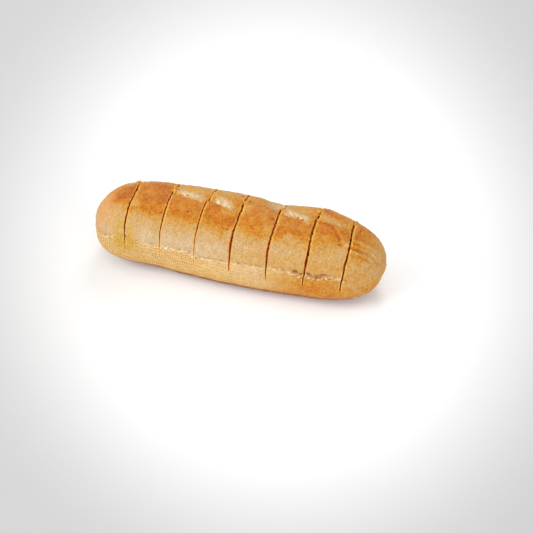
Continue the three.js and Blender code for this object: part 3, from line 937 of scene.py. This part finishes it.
def add_wall(shell, index, side, p, row, front, back, floor_count):
    """One wall of a cut: rows of points from its rim and floor inwards. Returns the row along its floor."""
    cut = CUTS[index]
    ring = FIRST_OF_CUT[index] + (side > 0)
    rim = p[ring, front : back + 1]
    share = np.linspace(0, 1, floor_count + 1)[1:-1, None]
    floor = rim[-1] * (1 - share) + rim[0] * share
    uneven, size = FLOOR_UNEVEN
    floor[:, 2] += uneven * noise(floor, size, seed=71 + index)
    floor_depth = np.minimum(np.abs(floor[:, 1] - rim[0, 1]), np.abs(floor[:, 1] - rim[-1, 1]))
    floor[:, 0] = wall_plane(cut, floor, side, floor_depth)
    outline = np.concatenate([rim, floor])
    centre_y = (rim[0, 1] + rim[-1, 1]) / 2
    centre_z = cut.floor + WALL_CENTRE * (rim[:, 2].max() - cut.floor)
    centre = np.array([0, centre_y, centre_z])
    out = np.zeros(len(outline))
    out[: len(rim)] = rim[:, 0] - wall_plane(cut, rim, side, 0)
    base_depth = np.concatenate([np.zeros(len(rim)), floor_depth])
    numbers = shell.add_points(floor, wall_values(floor_depth))
    loop = np.concatenate([row[0][front : back + 1], numbers])
    outer = closed(loop, wall_map(index, side, np.append(outline, outline[:1], 0)))
    skip = 1
    for level, share in enumerate(WALL_ROWS):
        skip *= 2 if level in WALL_HALVINGS else 1
        at = np.arange(0, len(outline), skip)
        points = centre + (outline[at] - centre) * share
        depth = base_depth[at] + (1 - share) * length((outline[at] - centre)[:, 1:])
        points[:, 0] = wall_plane(cut, points, side, depth) + out[at] * bell(depth, RIM_FADE)
        other_side = np.array([40.0 * side, 0, 0])  # far enough away for noise of its own
        crumb = rough(points + other_side, WALL_CRUMB_SIZE, seed=73 + index, octaves=2)
        half, _ = cut_half_width(cut, points[:, 1], points[:, 2], side)
        points[:, 0] += side * WALL_CRUMB * half * crumb * smooth_step(0, CRUMB_FULL, depth)
        places = wall_map(index, side, np.append(points, points[:1], 0))
        inner = closed(shell.add_points(points, wall_values(depth)), places)
        pair = (outer, inner) if side < 0 else (inner, outer)
        shell.strip(*pair, slot=CRUMB)
        outer = inner
    middle = centre.copy()[None]
    middle[:, 0] = wall_plane(cut, middle, side, LENGTH)
    number = shell.add_points(middle, wall_values(np.array([DEEP])))[0]
    shell.fan(number, wall_map(index, side, middle)[0], outer, CRUMB, before=side > 0)
    along_floor = np.r_[len(rim) - 1 : len(loop), 0]
    places = wall_map(index, side, outline[along_floor])
    places[:, 1] -= FLOOR_TILE_SHIFT * (side > 0)
    return loop[along_floor], places


def wall_plane(cut, points, side, depth):
    """Where a wall of a cut is along X, at points that lie this deep under the crust."""
    half, _ = cut_half_width(cut, points[:, 1], points[:, 2], side)
    return cut_x(cut, points[:, 1], points[:, 2]) + side * half + CURL * smooth_step(*CURL_DEPTHS, depth)


def wall_map(index, side, points):
    """Map places of a wall's points: each wall has a tile of its own."""
    u = (index + 0.5 + points[:, 1] / WIDTH * WALL_TILE_WIDE) / len(CUTS)
    v = WALL_TILES_V[int(side > 0)] + WALL_TILE_SIDE * (points[:, 2] - WALL_LOW) / (WALL_HIGH - WALL_LOW)
    return np.stack([u, v], 1)


def add_object(name, data):
    """Puts an object of this data into the scene."""
    ob = bpy.data.objects.new(name, data)
    bpy.context.scene.collection.objects.link(ob)
    return ob


def make_loaf():
    """The loaf's mesh object, with what the smaller pieces need: its lattice and normals."""
    p, n, s = crust_lattice()
    values = crust_attributes(p, s)
    shell = Shell()
    for index, rows in enumerate(add_crust(shell, p, values)):
        add_cut(shell, index, p, rows)
    mesh = shell.mesh("loaf_crust")
    mesh.set_sharp_from_angle(angle=SMOOTH_UP_TO)
    return add_object("loaf_crust", mesh), p, n


def rest_over_frame(objects, p):
    """Moves the meshes so that the crust's box has the middle of the CAD loaf's box."""
    low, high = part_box("loaf")
    middle = (np.array(low) + np.array(high)) / 2
    mine = (p.reshape(-1, 3).min(0) + p.reshape(-1, 3).max(0)) / 2 * METRES
    shift = Vector((middle[0] - mine[0], middle[1] - mine[1], 0))
    for ob in objects:
        ob.data.transform(Matrix.Translation(shift))


# --- Materials ---
def linear(red, green, blue):
    """A linear colour from screen values of 0 to 255."""
    screen = np.array([red, green, blue]) / 255
    lin = np.where(screen <= 0.04045, screen / 12.92, ((screen + 0.055) / 1.055) ** 2.4)
    return (*(float(x) for x in lin), 1.0)


class Graph:
    """A material's nodes, with short calls to add and join them."""

    def __init__(self, name):
        self.material = bpy.data.materials.new(name)
        self.material.use_nodes = True
        self.tree = self.material.node_tree
        self.tree.nodes.clear()
        self.place = self.node("ShaderNodeTexCoord").outputs["Object"]

    def node(self, kind, **settings):
        node = self.tree.nodes.new(kind)
        for key, value in settings.items():
            setattr(node, key, value)
        return node

    def join(self, value, socket):
        if isinstance(value, bpy.types.NodeSocket):
            self.tree.links.new(value, socket)
        else:
            socket.default_value = value

    def attribute(self, name):
        return self.node("ShaderNodeAttribute", attribute_name=name).outputs["Fac"]

    def maths(self, operation, a, b=0.0, c=0.0, clamp=False):
        node = self.node("ShaderNodeMath", operation=operation, use_clamp=clamp)
        for value, socket in zip((a, b, c), node.inputs):
            self.join(value, socket)
        return node.outputs[0]

    def times(self, *values):
        """The product of values."""
        product = values[0]
        for value in values[1:]:
            product = self.maths("MULTIPLY", product, value)
        return product

    def scaled(self, value, by, plus):
        return self.maths("MULTIPLY_ADD", value, by, plus)

    def total(self, *parts):
        """The sum of values, each taken by its share: (share, value)."""
        value = 0.0
        for share, part in parts:
            value = self.scaled(part, share, value)
        return value

    def noise(self, size, detail=2.0, roughness=0.5, distortion=0.0, place=None):
        """Noise from 0 to 1 with features about size millimetres across."""
        node = self.node("ShaderNodeTexNoise")
        self.join(place or self.place, node.inputs["Vector"])
        node.inputs["Scale"].default_value = 1 / (size * METRES)
        node.inputs["Detail"].default_value = detail
        node.inputs["Roughness"].default_value = roughness
        node.inputs["Distortion"].default_value = distortion
        return node.outputs["Fac"]

    def centred_noise(self, amount, size, *settings, **more):
        """Noise from -amount to amount."""
        return self.scaled(self.noise(size, *settings, **more), 2 * amount, -amount)

    def squeezed(self, x, y, z):
        """The place scaled along each axis: what is drawn on it is stretched where the scale is low."""
        node = self.node("ShaderNodeVectorMath", operation="MULTIPLY")
        self.join(self.place, node.inputs[0])
        node.inputs[1].default_value = (x, y, z)
        return node.outputs[0]

    def cells(self, size, randomness=1.0, place=None):
        """Distance to the nearest of scattered points about size millimetres apart, in their spacings."""
        node = self.node("ShaderNodeTexVoronoi")
        self.join(place or self.place, node.inputs["Vector"])
        node.inputs["Scale"].default_value = 1 / (size * METRES)
        node.inputs["Randomness"].default_value = randomness
        return node.outputs["Distance"]

    def spots(self, size, inside, outside, randomness=1.0, place=None):
        """Round spots: 1 up to a distance inside from their middles, and 0 from a distance outside on."""
        return self.between(self.cells(size, randomness, place), inside, outside, 1.0, 0.0)

    def patches(self, size, detail, low, high, least=0.0):
        """Soft patches, from least to 1."""
        return self.between(self.noise(size, detail), low, high, least)

    def ramp(self, value, stops):
        node = self.node("ShaderNodeValToRGB")
        ramp = node.color_ramp
        while len(ramp.elements) < len(stops):
            ramp.elements.new(0.5)
        for element, (position, colour) in zip(ramp.elements, stops):
            element.position = position
            element.color = colour
        self.join(value, node.inputs["Fac"])
        return node.outputs["Color"]

    def between(self, value, low, high, to_low=0.0, to_high=1.0):
        node = self.node("ShaderNodeMapRange", interpolation_type="SMOOTHSTEP")
        for v, socket in zip((value, low, high, to_low, to_high), node.inputs):
            self.join(v, socket)
        return node.outputs[0]

    def mix(self, factor, a, b, blend="MIX"):
        node = self.node("ShaderNodeMix", data_type="RGBA", blend_type=blend)
        self.join(factor, node.inputs["Factor"])
        self.join(a, node.inputs["A"])
        self.join(b, node.inputs["B"])
        return node.outputs["Result"]

    def finish(self, colour, roughness, height, rise, specular):
        """The shader itself. A height of 1 stands rise millimetres above a height of 0."""
        shader = self.node("ShaderNodeBsdfPrincipled")
        self.join(colour, shader.inputs["Base Color"])
        self.join(roughness, shader.inputs["Roughness"])
        shader.inputs["Specular IOR Level"].default_value = specular
        node = self.node("ShaderNodeBump")
        node.inputs["Strength"].default_value = 1.0
        node.inputs["Distance"].default_value = rise * METRES
        self.join(height, node.inputs["Height"])
        self.tree.links.new(node.outputs["Normal"], shader.inputs["Normal"])
        output = self.node("ShaderNodeOutputMaterial")
        self.tree.links.new(shader.outputs["BSDF"], output.inputs["Surface"])
        return self.material


CRUST_COLOURS = (  # browning and its colour
    (-0.30, (220, 194, 152)),
    (0.00, (196, 168, 128)),
    (0.28, (193, 153, 96)),
    (0.55, (190, 140, 68)),
    (0.80, (188, 124, 28)),
    (1.00, (184, 107, 10)),
    (1.35, (164, 82, 6)),
)
BROWN_LOW, BROWN_HIGH = -0.3, 1.4  # browning that the ramp covers
BLOTCHES = ((0.22, 11.0), (0.42, 4.5), (0.42, 1.9))  # of browning: amount, size
BLOTCHY_BY_BROWNING, BLOTCHY_PALE = 0.75, 0.35  # browned crust is blotchier than pale dough
STRETCH_SIZE, STRETCH_SQUEEZE, STRETCH_AMOUNT = 2.2, (1.0, 0.3, 0.3), 0.25  # marks across the loaf
GRAIN_SIZE, GRAIN_NOISE, GRAIN_SHADES = 1.4, (0.3, 0.7), (0.84, 1.13)
FRECKLES = (2.7, 0.14, 0.34)  # size, and how far out they are full and end
BLISTERS, BLISTER_SQUEEZE = (3.3, 0.12, 0.3), (1.3, 1.0, 1.1)
# What lies over the browned crust, the lowest first: strength, colour, and the patches that it breaks up
# into, by their size, detail, low, high and least
COVERS = {
    "freckles": (0.5, (150, 72, 8), (8.0, 2, 0.42, 0.6)),
    "blisters": (0.3, (232, 190, 128), (6.0, 2, 0.45, 0.6)),
    # a painted pinkish sheen on the left end
    "painted_sheen": (0.4, (224, 150, 96), None),
    "below": (0.6, (222, 178, 104), None),
    "dimples": (0.95, (188, 128, 42), None),
    "flour": (0.85, (250, 228, 188), (1.1, 3, 0.3, 0.55)),
    # crack: painted shade in the creases' cracks
    "crack": (0.9, (146, 84, 22), None),
    # scorched: partly browning from the tray, partly painted contact shade along the bottom
    "scorched": (0.85, (136, 66, 20), None),
    "butter": (0.95, (192, 144, 20), (2.0, 3, 0.35, 0.62, 0.3)),
    # rim: partly exposed crumb, partly a painted highlight on the cuts' edges
    "rim": (0.95, (228, 176, 78), (1.6, 2, 0.35, 0.6, 0.3)),
}
CRUST_ROUGH = (0.2, 0.9, 0.52, 0.4)  # from and to which browning, and how rough the crust is at each
CRUST_RISE = 1.3
SKIN_BUMPS = ((0.5, 1.4, 3, 0.6), (0.5, 4.5, 3, 0.5))  # share, size, detail, roughness
STRETCH_BUMP, BLISTER_BUMP, DIMPLE_BUMP = 0.35, 0.3, -0.4


def crust_material():
    """Crust from pale dough to deep golden brown, and all that marks it, some of which is painted sheen,
    shade and highlight.
    """
    g = Graph("golden_crust")
    bake = g.attribute("bake")
    blotchy = g.maths("MULTIPLY_ADD", bake, BLOTCHY_BY_BROWNING, BLOTCHY_PALE, clamp=True)
    for amount, size in BLOTCHES:
        bake = g.scaled(g.centred_noise(amount, size, 2, 0.5, 0.4), blotchy, bake)
    stretch = g.noise(STRETCH_SIZE, 2, 0.6, place=g.squeezed(*STRETCH_SQUEEZE))
    bake = g.maths("ADD", bake, g.scaled(stretch, 2 * STRETCH_AMOUNT, -STRETCH_AMOUNT))
    scale = 1 / (BROWN_HIGH - BROWN_LOW)
    stops = [((level - BROWN_LOW) * scale, linear(*colour)) for level, colour in CRUST_COLOURS]
    colour = g.ramp(g.scaled(bake, scale, -BROWN_LOW * scale), stops)
    grain = g.between(g.noise(GRAIN_SIZE, 2, 0.6), *GRAIN_NOISE, *GRAIN_SHADES)
    colour = g.mix(1.0, colour, grain, "MULTIPLY")
    made = {
        "freckles": g.times(g.spots(*FRECKLES), blotchy),
        "blisters": g.spots(*BLISTERS, place=g.squeezed(*BLISTER_SQUEEZE)),
        "dimples": dimples(g),
    }
    for name, (strength, over, patches) in COVERS.items():
        mask = made[name] if name in made else g.attribute(name)
        if patches:
            mask = g.times(mask, g.patches(*patches))
        colour = g.mix(g.times(mask, strength), colour, linear(*over))
        made[name] = mask
    skin = g.total(
        *((share, g.noise(*settings)) for share, *settings in SKIN_BUMPS),
        (STRETCH_BUMP, stretch),
        (BLISTER_BUMP, made["blisters"]),
        (DIMPLE_BUMP, made["dimples"]),
    )
    return g.finish(colour, g.between(bake, *CRUST_ROUGH), skin, CRUST_RISE, specular=0.17)


DIMPLE_PITCH, DIMPLE_PITCH_AROUND = 2.0, 3.0
DIMPLE_WANDER, DIMPLE_WANDER_SIZE = 2.5, 7.0
DIMPLE_EDGE = (0.4, 0.9)
DIMPLE_PATCHES = SimpleNamespace(size=5.0, noise=(0.3, 0.6), least=0.25)


def dimples(g):
    """A regular pattern of small dimples, which a perforated tray leaves on the crust's base."""
    place = g.node("ShaderNodeSeparateXYZ")
    g.join(g.place, place.inputs[0])
    wander = g.centred_noise(DIMPLE_WANDER, DIMPLE_WANDER_SIZE)
    across = g.scaled(place.outputs["X"], np.pi / (DIMPLE_PITCH * METRES), wander)
    around = g.scaled(g.attribute("around"), np.pi / DIMPLE_PITCH_AROUND, wander)
    grid = g.times(g.maths("SINE", across), g.maths("SINE", around))
    spots = g.between(g.maths("ABSOLUTE", grid), *DIMPLE_EDGE)
    patchy = g.between(g.noise(DIMPLE_PATCHES.size, 3, 0.6), *DIMPLE_PATCHES.noise, DIMPLE_PATCHES.least)
    return g.times(spots, patchy, g.attribute("below"))


CRUMB_COLOURS, CRUMB_MOTTLE = ((214, 184, 98), (204, 162, 62)), (7, 4, 0.3, 0.7)
CRUMB_ROUGHNESS, CRUMB_RISE = 0.8, 0.8
HOLES, FINE_HOLES = (2.1, 0.12, 0.55), (0.9, 0.1, 0.6)  # size, and how far out they are full and end
HOLE_DEPTH, FINE_DEPTH = 0.7, 0.3  # as shares of the rise
# painted shade in the larger holes
HOLE_SHADE, HOLE_SHADE_STRENGTH = (176, 124, 42), 0.45
# Redder crumb towards the crust: partly toasted, partly a painted red-brown tint for the shade seen down the
# cuts
TOASTED_AND_SHADE_TINT, TOASTED_STRENGTH = (200, 92, 44), 0.95
TOASTED_DEPTHS, TOASTED_UNEVEN = (12.0, 24.0), 2.0  # how deep in from the crust the crumb is redder, and how uneven that is


def crumb_material():
    """Buttery crumb: soft, yellow and full of small holes, with painted shade in the larger ones, and redder
    towards the crust, partly toasted and partly a painted tint for the shade down the cuts.
    """
    g = Graph("buttery_crumb")
    size, detail, low, high = CRUMB_MOTTLE
    tone = g.between(g.noise(size, detail, 0.6), low, high)
    colour = g.mix(tone, *(linear(*shade) for shade in CRUMB_COLOURS))
    hole, fine = g.spots(*HOLES), g.spots(*FINE_HOLES)
    # painted shade in the larger holes
    colour = g.mix(g.times(hole, HOLE_SHADE_STRENGTH), colour, linear(*HOLE_SHADE))
    # redder towards the crust: partly toasting, partly a painted tint for the shade down the cuts
    depth = g.scaled(tone, TOASTED_UNEVEN, g.attribute("depth"))
    toasted = g.between(depth, *TOASTED_DEPTHS, TOASTED_STRENGTH, 0.0)
    colour = g.mix(toasted, colour, linear(*TOASTED_AND_SHADE_TINT))
    height = g.total((-HOLE_DEPTH, hole), (-FINE_DEPTH, fine))
    return g.finish(colour, CRUMB_ROUGHNESS, height, CRUMB_RISE, specular=0.1)


# Materials of the small pieces: name, two colours, size of the mottling, roughness, rise
CRUMB_BITS = ("crumb_bits", (218, 166, 70), (198, 122, 36), 1.5, 0.7, 0.15)
SCORCHED_BITS = ("scorched", (150, 56, 16), (172, 76, 24), 1.0, 0.55, 0.1)
HERB_BITS = ("herbs", (52, 62, 22), (92, 98, 36), 0.8, 0.6, 0.1)
BIT_MOTTLE = (3, 0.35, 0.65)  # detail, low, high


def plain_material(name, low, high, size, roughness, rise):
    """A mottled material between two colours."""
    g = Graph(name)
    colour = g.mix(g.patches(size, *BIT_MOTTLE), linear(*low), linear(*high))
    return g.finish(colour, roughness, g.noise(size / 2, 3), rise, specular=0.3)


# --- Small pieces ---
def blob(level):
    """Points and faces of a small sphere, which each scattered bit is a squeezed and roughened copy of."""
    bm = bmesh.new()
    bmesh.ops.create_icosphere(bm, subdivisions=level, radius=1)
    points = np.array([v.co for v in bm.verts])
    faces = np.array([[v.index for v in f.verts] for f in bm.faces])
    bm.free()
    return points, faces


BIT_LEVEL = 2  # how finely a bit's sphere is divided
BIT_JAG, BIT_JAG_SIZE, BIT_APART = 0.35, 0.8, 7  # how ragged the bits are, and what makes them differ
BIT_SINK = 0.3  # the share of a bit that lies under the surface


def scatter(name, places, normals, sizes, rng):
    """One mesh of many bits. sizes, (n, 3), are half widths, of which the last stands along the normal."""
    unit, faces = blob(BIT_LEVEL)
    count = len(places)
    turn = rng.uniform(0, 2 * np.pi, count)
    helper = np.where(np.abs(normals[:, 2:]) < 0.9, [[0, 0, 1.0]], [[1.0, 0, 0]])
    a = np.cross(normals, helper)
    a /= length(a)[:, None]
    b = np.cross(normals, a)
    c, s = np.cos(turn)[:, None], np.sin(turn)[:, None]
    basis = np.stack([a * c + b * s, b * c - a * s, normals], 1)
    number = np.arange(count)[:, None, None]
    ragged = rough(unit[None] + BIT_APART * number, BIT_JAG_SIZE, seed=91, octaves=2)
    shaped = unit[None] * (1 + BIT_JAG * ragged)[..., None] * sizes[:, None]
    points = np.einsum("nvk,nkj->nvj", shaped, basis)
    points += (places + normals * sizes[:, 2:] * (1 - 2 * BIT_SINK))[:, None]
    mesh = bpy.data.meshes.new(name)
    all_faces = (faces[None] + len(unit) * number).reshape(-1, 3)
    mesh.from_pydata((points.reshape(-1, 3) * METRES).tolist(), [], all_faces.tolist())
    mesh.polygons.foreach_set("use_smooth", np.ones(len(mesh.polygons), bool))
    return add_object(name, mesh)


LOWEST_WEIGHT = 2  # how likely the lowest places are, in millimetres of height


def rim_spots(p, n, rng, per_rim, low):
    """Places on the rims of the cuts above a height, more of them higher up, with their normals."""
    places, normals = [], []
    for ring in FIRST_OF_CUT:
        for side in (0, 1):
            z = p[ring + side, :, 2]
            choose = np.flatnonzero(z > low)
            weight = (z[choose] - low) + LOWEST_WEIGHT
            picked = rng.choice(choose, per_rim, p=weight / weight.sum())
            places.append(p[ring + side, picked])
            normals.append(n[ring + side, picked])
    return np.concatenate(places), np.concatenate(normals)


CRUMBS_PER_RIM, CRUMBS_PER_LIP = 9, 11
CRUMBS_FROM = 48  # the height above which they lie on the rims
CRUMB_SIZE, TUFT_SIZE, CRUMB_UNEVEN = (0.2, 0.45), (0.45, 1.0), (0.7, 1.3)
TUFT_SPREAD, TUFT_LIFT = 0.4, (-0.4, 0.3)  # as shares of a lip's reach, and of its height
TUFT_JITTER = 0.35


def make_crumbs(p, n):
    """Loose crumbs: a few along each rim, and tufts of them where the knife lifted it."""
    rng = np.random.default_rng(5)
    places, normals = rim_spots(p, n, rng, CRUMBS_PER_RIM, CRUMBS_FROM)
    size = rng.uniform(*CRUMB_SIZE, (len(places), 1))
    for index, side, place, reach, height in LIPS:
        ring = FIRST_OF_CUT[index] + (side > 0)
        on_top = np.flatnonzero(p[ring, :, 2] > TOP_FROM)
        wanted = rng.normal(place, reach * TUFT_SPREAD, CRUMBS_PER_LIP)
        picked = [on_top[np.argmin(np.abs(p[ring, on_top, 1] - y))] for y in wanted]
        lift = rng.uniform(*TUFT_LIFT, (CRUMBS_PER_LIP, 1)) * height
        jitter = rng.normal(0, TUFT_JITTER, (CRUMBS_PER_LIP, 3))
        places = np.concatenate([places, p[ring, picked] + n[ring, picked] * lift + jitter])
        normals = np.concatenate([normals, n[ring, picked]])
        size = np.concatenate([size, rng.uniform(*TUFT_SIZE, (CRUMBS_PER_LIP, 1))])
    sizes = size * rng.uniform(*CRUMB_UNEVEN, (len(places), 3))
    return scatter("rim_crumbs", places, normals, sizes, rng)


SPECK_PLACES = (  # scorched specks that show from the front
    (-63.6, -11.2, 61.3),
    (-59.0, -20.2, 59.4),
    (-37.5, -15.0, 60.4),
    (-1.5, -23.6, 56.9),
    (7.8, 10.6, 61.8),
    (30.3, -5.6, 61.9),
    (49.8, -0.1, 62.4),
    (54.9, -1.8, 62.3),
    (88.2, -17.7, 56.9),
    (101.0, 6.0, 57.0),
)
SPECKS_BEHIND = 12  # how many more there are behind
BEHIND = (int(AROUND * 0.55), int(AROUND * 0.8))  # and where round a ring they are
SPECK_ENDS = 20  # rings at each end without them
SPECK_SIZE, SPECK_SHAPE = (0.6, 1.25), (1.2, 0.9, 0.3)


def make_specks(p, n):
    """Scorched specks, some at places of their own and some anywhere on the back."""
    rng = np.random.default_rng(11)
    ring = rng.integers(SPECK_ENDS, len(p) - SPECK_ENDS, SPECKS_BEHIND)
    point = rng.integers(*BEHIND, SPECKS_BEHIND)
    wanted = np.concatenate([np.array(SPECK_PLACES), p[ring, point]])
    flat, normal = p.reshape(-1, 3), n.reshape(-1, 3)
    nearest = np.array([np.argmin(((flat - w) ** 2).sum(1)) for w in wanted])
    sizes = rng.uniform(*SPECK_SIZE, (len(wanted), 3)) * SPECK_SHAPE
    return scatter("scorched_specks", flat[nearest], normal[nearest], sizes, rng)


HERBS_PER_RIM, HERBS_FROM = 5, 44  # above this height
HERB_DEPTH, HERB_OFFSET = (0.3, 3.0), 0.15  # below the crust, and off the wall
HERB_SIZE, HERB_SHAPE = (0.4, 0.8), (1, 0.7, 0.22)


def make_herbs(p, n):
    """Flecks of herb on the walls of the cuts, just below their rims."""
    rng = np.random.default_rng(17)
    places, normals = rim_spots(p, n, rng, HERBS_PER_RIM, HERBS_FROM)
    inwards = rng.uniform(*HERB_DEPTH, (len(places), 1))
    facing = np.zeros_like(places)
    facing[:, 0] = np.tile(np.repeat([1.0, -1.0], HERBS_PER_RIM), len(CUTS))  # away from a cut's own wall
    places = places - normals * inwards + HERB_OFFSET * facing
    sizes = rng.uniform(*HERB_SIZE, (len(places), 3)) * HERB_SHAPE
    return scatter("herb_flecks", places, facing, sizes, rng)


# --- Stage ---
FLOOR_SIDE = 8.0  # metres
FADE_MIDDLE = (37, 10, 0)  # middle of the painted pool of light, where the floor is lightest
FADE_RADII = (51.0, 310.0)  # where it begins to darken, and where that ends
FLOOR_LIGHT, PAINTED_FALLOFF, FLOOR_ROUGHNESS = 0.97, 0.49, 0.9
FLOOR_GRAIN, FLOOR_GRAIN_SIZE = 0.005, 30
CAMERA_REACH = 758.7  # from the camera to the floor, along its line of sight
FARTHEST_SHRINK = 0.3
WORLD_LIGHT = 0.84
LOAF_MIDDLE = (0, 0, 0.02)  # metres, as are the lights' places and sizes
LIGHTS = (  # name, place, aim, size, watts
    ("key", (-1.35, -0.95, 1.2), LOAF_MIDDLE, 1.4, 23.5),
    ("fill", (1.2, -1.2, 0.57), LOAF_MIDDLE, 1.15, 10.5),
    ("rim", (-0.1, 0.8, 0.8), (0, 0, 0.03), 0.5, 3.4),
)


def floor_material():
    """Pale, with a painted pool of light: a little darker away from the loaf, in circles as seen from the
    camera.
    """
    g = Graph("pale_floor")
    turned = g.node("ShaderNodeMapping", vector_type="TEXTURE")
    g.join(g.place, turned.inputs["Vector"])
    turned.inputs["Location"].default_value = Vector(FADE_MIDDLE) * METRES
    turned.inputs["Rotation"].default_value = (0, 0, CAMERA_YAW)
    turned.inputs["Scale"].default_value = (METRES, METRES / np.sin(CAMERA_PITCH), METRES)
    distance = g.node("ShaderNodeVectorMath", operation="LENGTH")
    g.join(turned.outputs[0], distance.inputs[0])
    away = g.node("ShaderNodeSeparateXYZ")
    g.join(turned.outputs[0], away.inputs[0])
    # what is farther away looks smaller, so the fade is wider there
    farther = 1 / (CAMERA_REACH * np.tan(CAMERA_PITCH))
    shrink = g.maths("MAXIMUM", g.scaled(away.outputs["Y"], farther, 1.0), FARTHEST_SHRINK)
    fade = g.between(g.maths("DIVIDE", distance.outputs["Value"], shrink), *FADE_RADII)
    grain = g.centred_noise(FLOOR_GRAIN, FLOOR_GRAIN_SIZE)
    shade = g.maths("ADD", g.scaled(fade, -PAINTED_FALLOFF, FLOOR_LIGHT), grain)
    colour = g.node("ShaderNodeCombineColor")
    for socket in colour.inputs:
        g.join(shade, socket)
    return g.finish(colour.outputs[0], FLOOR_ROUGHNESS, height=0.0, rise=0.0, specular=0.0)


def make_floor():
    half = FLOOR_SIDE / 2
    corners = [(-half, -half, 0), (half, -half, 0), (half, half, 0), (-half, half, 0)]
    mesh = bpy.data.meshes.new("floor")
    mesh.from_pydata(corners, [], [(0, 1, 2, 3)])
    mesh.materials.append(floor_material())
    floor = add_object("floor", mesh)
    floor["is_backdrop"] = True


def area_light(name, place, aim, size, watts):
    light = bpy.data.lights.new(name, "AREA")
    light.shape = "DISK"
    light.size = size
    light.energy = watts
    ob = add_object(name, light)
    ob.location = place
    ob.rotation_euler = (Vector(aim) - Vector(place)).to_track_quat("-Z", "Y").to_euler()


def make_lights():
    """A white studio all round, and three soft lights."""
    scene = bpy.context.scene
    scene.world = bpy.data.worlds.new("studio")
    scene.world.use_nodes = True
    background = scene.world.node_tree.nodes["Background"]
    background.inputs["Color"].default_value = (1, 1, 1, 1)
    background.inputs["Strength"].default_value = WORLD_LIGHT
    for light in LIGHTS:
        area_light(*light)
    scene.view_settings.view_transform = "Standard"
    scene.view_settings.look = "None"


def make_camera():
    data = bpy.data.cameras.new("camera")
    data.lens = LENS
    data.sensor_width = SENSOR
    camera = add_object("camera", data)
    right = Vector((np.cos(CAMERA_YAW), np.sin(CAMERA_YAW), 0))
    away = Vector((-np.sin(CAMERA_YAW), np.cos(CAMERA_YAW), 0))
    forward = away * np.cos(CAMERA_PITCH) - Vector((0, 0, 1)) * np.sin(CAMERA_PITCH)
    up = right.cross(forward)
    turn = Matrix((right, up, -forward)).transposed()
    camera.matrix_world = Matrix.Translation(Vector(CAMERA_PLACE) * METRES) @ turn.to_4x4()
    bpy.context.scene.camera = camera


# --- Putting it together ---
make_camera()
make_lights()
make_floor()
loaf, lattice, normals = make_loaf()
crumbs = make_crumbs(lattice, normals)
specks = make_specks(lattice, normals)
herbs = make_herbs(lattice, normals)
pieces = {
    loaf: (crust_material(), crumb_material()),  # in the order of the slots CRUST and CRUMB
    crumbs: (plain_material(*CRUMB_BITS),),
    specks: (plain_material(*SCORCHED_BITS),),
    herbs: (plain_material(*HERB_BITS),),
}
rest_over_frame(pieces, lattice)
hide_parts("loaf")
for piece, materials in pieces.items():
    for material in materials:
        piece.data.materials.append(material)
    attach(piece, "root")

bpy.context.view_layer.update()
boxes = {"cad": cad_box, "visual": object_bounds()}
{k: [list(corner) for corner in v] for k, v in boxes.items()}
